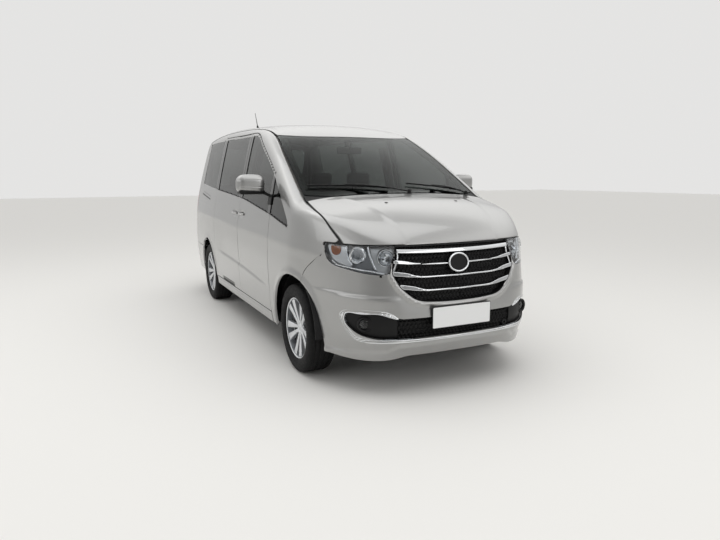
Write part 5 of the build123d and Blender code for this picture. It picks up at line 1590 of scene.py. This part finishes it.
# ---------------------------------------------------------------- floor, light, camera
floor_mesh = bpy.data.meshes.new("studio_floor")
floor_mesh.from_pydata([(-40, -40, 0), (40, -40, 0), (40, 40, 0), (-40, 40, 0)], [], [(0, 1, 2, 3)])
floor = bpy.data.objects.new("studio_floor", floor_mesh)
bpy.context.scene.collection.objects.link(floor)
floor_paint, tree, bsdf = material("white_studio_floor", "E6E5E2", 0.7)
floor_mesh.materials.append(floor_paint)

world = bpy.data.worlds.new("studio")
bpy.context.scene.world = world
world.use_nodes = True
tree = world.node_tree
place = node(tree, "ShaderNodeTexCoord")
parts = node(tree, "ShaderNodeSeparateXYZ", [("Vector", place.outputs["Generated"])])
high = node(tree, "ShaderNodeMapRange", [("Value", parts.outputs["Z"])],
            **{"From Min": 0.1, "From Max": 0.66, "To Min": 0.50, "To Max": 1.4})
dim = node(tree, "ShaderNodeMapRange", [("Value", parts.outputs["Z"])],
           **{"From Min": 0.68, "From Max": 0.86, "To Min": 1.0, "To Max": 0.4})
high = node(tree, "ShaderNodeMath", [(0, high.outputs["Result"]), (1, dim.outputs["Result"])],
            operation="MULTIPLY")
soft = node(tree, "ShaderNodeMapRange", [("Value", parts.outputs["Z"])],
            **{"From Min": 0.0, "From Max": 0.7, "To Min": 0.25, "To Max": 0.95})
toward = node(tree, "ShaderNodeVectorMath", [(0, place.outputs["Generated"])], operation="DOT_PRODUCT")
toward.inputs[1].default_value = (0.72, -0.69, 0.0)
back = node(tree, "ShaderNodeMapRange", [("Value", toward.outputs["Value"])],
            **{"From Min": -0.2, "From Max": 0.9, "To Min": 1.1, "To Max": 0.42})
both_ways = node(tree, "ShaderNodeMath", [(0, high.outputs["Value"]), (1, back.outputs["Result"])],
                 operation="MULTIPLY")
rays = node(tree, "ShaderNodeLightPath")
spread_light = node(tree, "ShaderNodeMath", [(0, soft.outputs["Result"]), (1, back.outputs["Result"])],
                    operation="MULTIPLY")
seen = node(tree, "ShaderNodeMix", [("Factor", rays.outputs["Is Diffuse Ray"]),
                                    (2, both_ways.outputs["Value"]), (3, spread_light.outputs["Value"])],
            data_type="FLOAT")
level = node(tree, "ShaderNodeMix", [("Factor", rays.outputs["Is Camera Ray"]), (2, seen.outputs[0])],
             data_type="FLOAT")
level.inputs[3].default_value = 0.78
tree.links.new(level.outputs[0], tree.nodes["Background"].inputs["Strength"])
tree.nodes["Background"].inputs["Color"].default_value = (1, 0.995, 0.985, 1)


def lamp(name, place, size, power, aim=(0, 0, 0.8)):
    """A soft rectangular lamp in metres and watts, turned to face the car."""
    data = bpy.data.lights.new(name, "AREA")
    data.shape = "RECTANGLE"
    data.size, data.size_y = size
    data.energy = power
    made = bpy.data.objects.new(name, data)
    bpy.context.scene.collection.objects.link(made)
    toward = np.array(aim) - np.array(place)
    made.location = place
    made.rotation_euler = (math.atan2(math.hypot(*toward[:2]), -toward[2]), 0,
                           math.atan2(toward[1], toward[0]) - math.pi / 2)
    return made


lamp("overhead_softbox", (1.0, -1.0, 6.0), (9, 5), 150)
lamp("side_softbox", (1.5, -8.0, 3.2), (10, 3), 85)
lamp("front_softbox", (9.0, 2.5, 3.0), (5, 3), 75)

camera = bpy.data.objects.new("main_camera", bpy.data.cameras.new("main_camera"))
bpy.context.scene.collection.objects.link(camera)
camera.data.sensor_width = 36
camera.data.lens = 29.43
yaw, pitch, roll = math.radians(154.263), math.radians(-9.110), math.radians(-0.20)
camera.location = (5.625, -2.281, 1.440)
camera.rotation_mode = "XYZ"
look = (Matrix.Rotation(yaw - math.pi / 2, 4, "Z") @ Matrix.Rotation(math.pi / 2 + pitch, 4,
                                                                     "X") @ Matrix.Rotation(roll, 4, "Z"))
camera.matrix_world = Matrix.Translation(camera.location) @ look
bpy.context.scene.camera = camera
bpy.context.scene.view_settings.view_transform = "Standard"
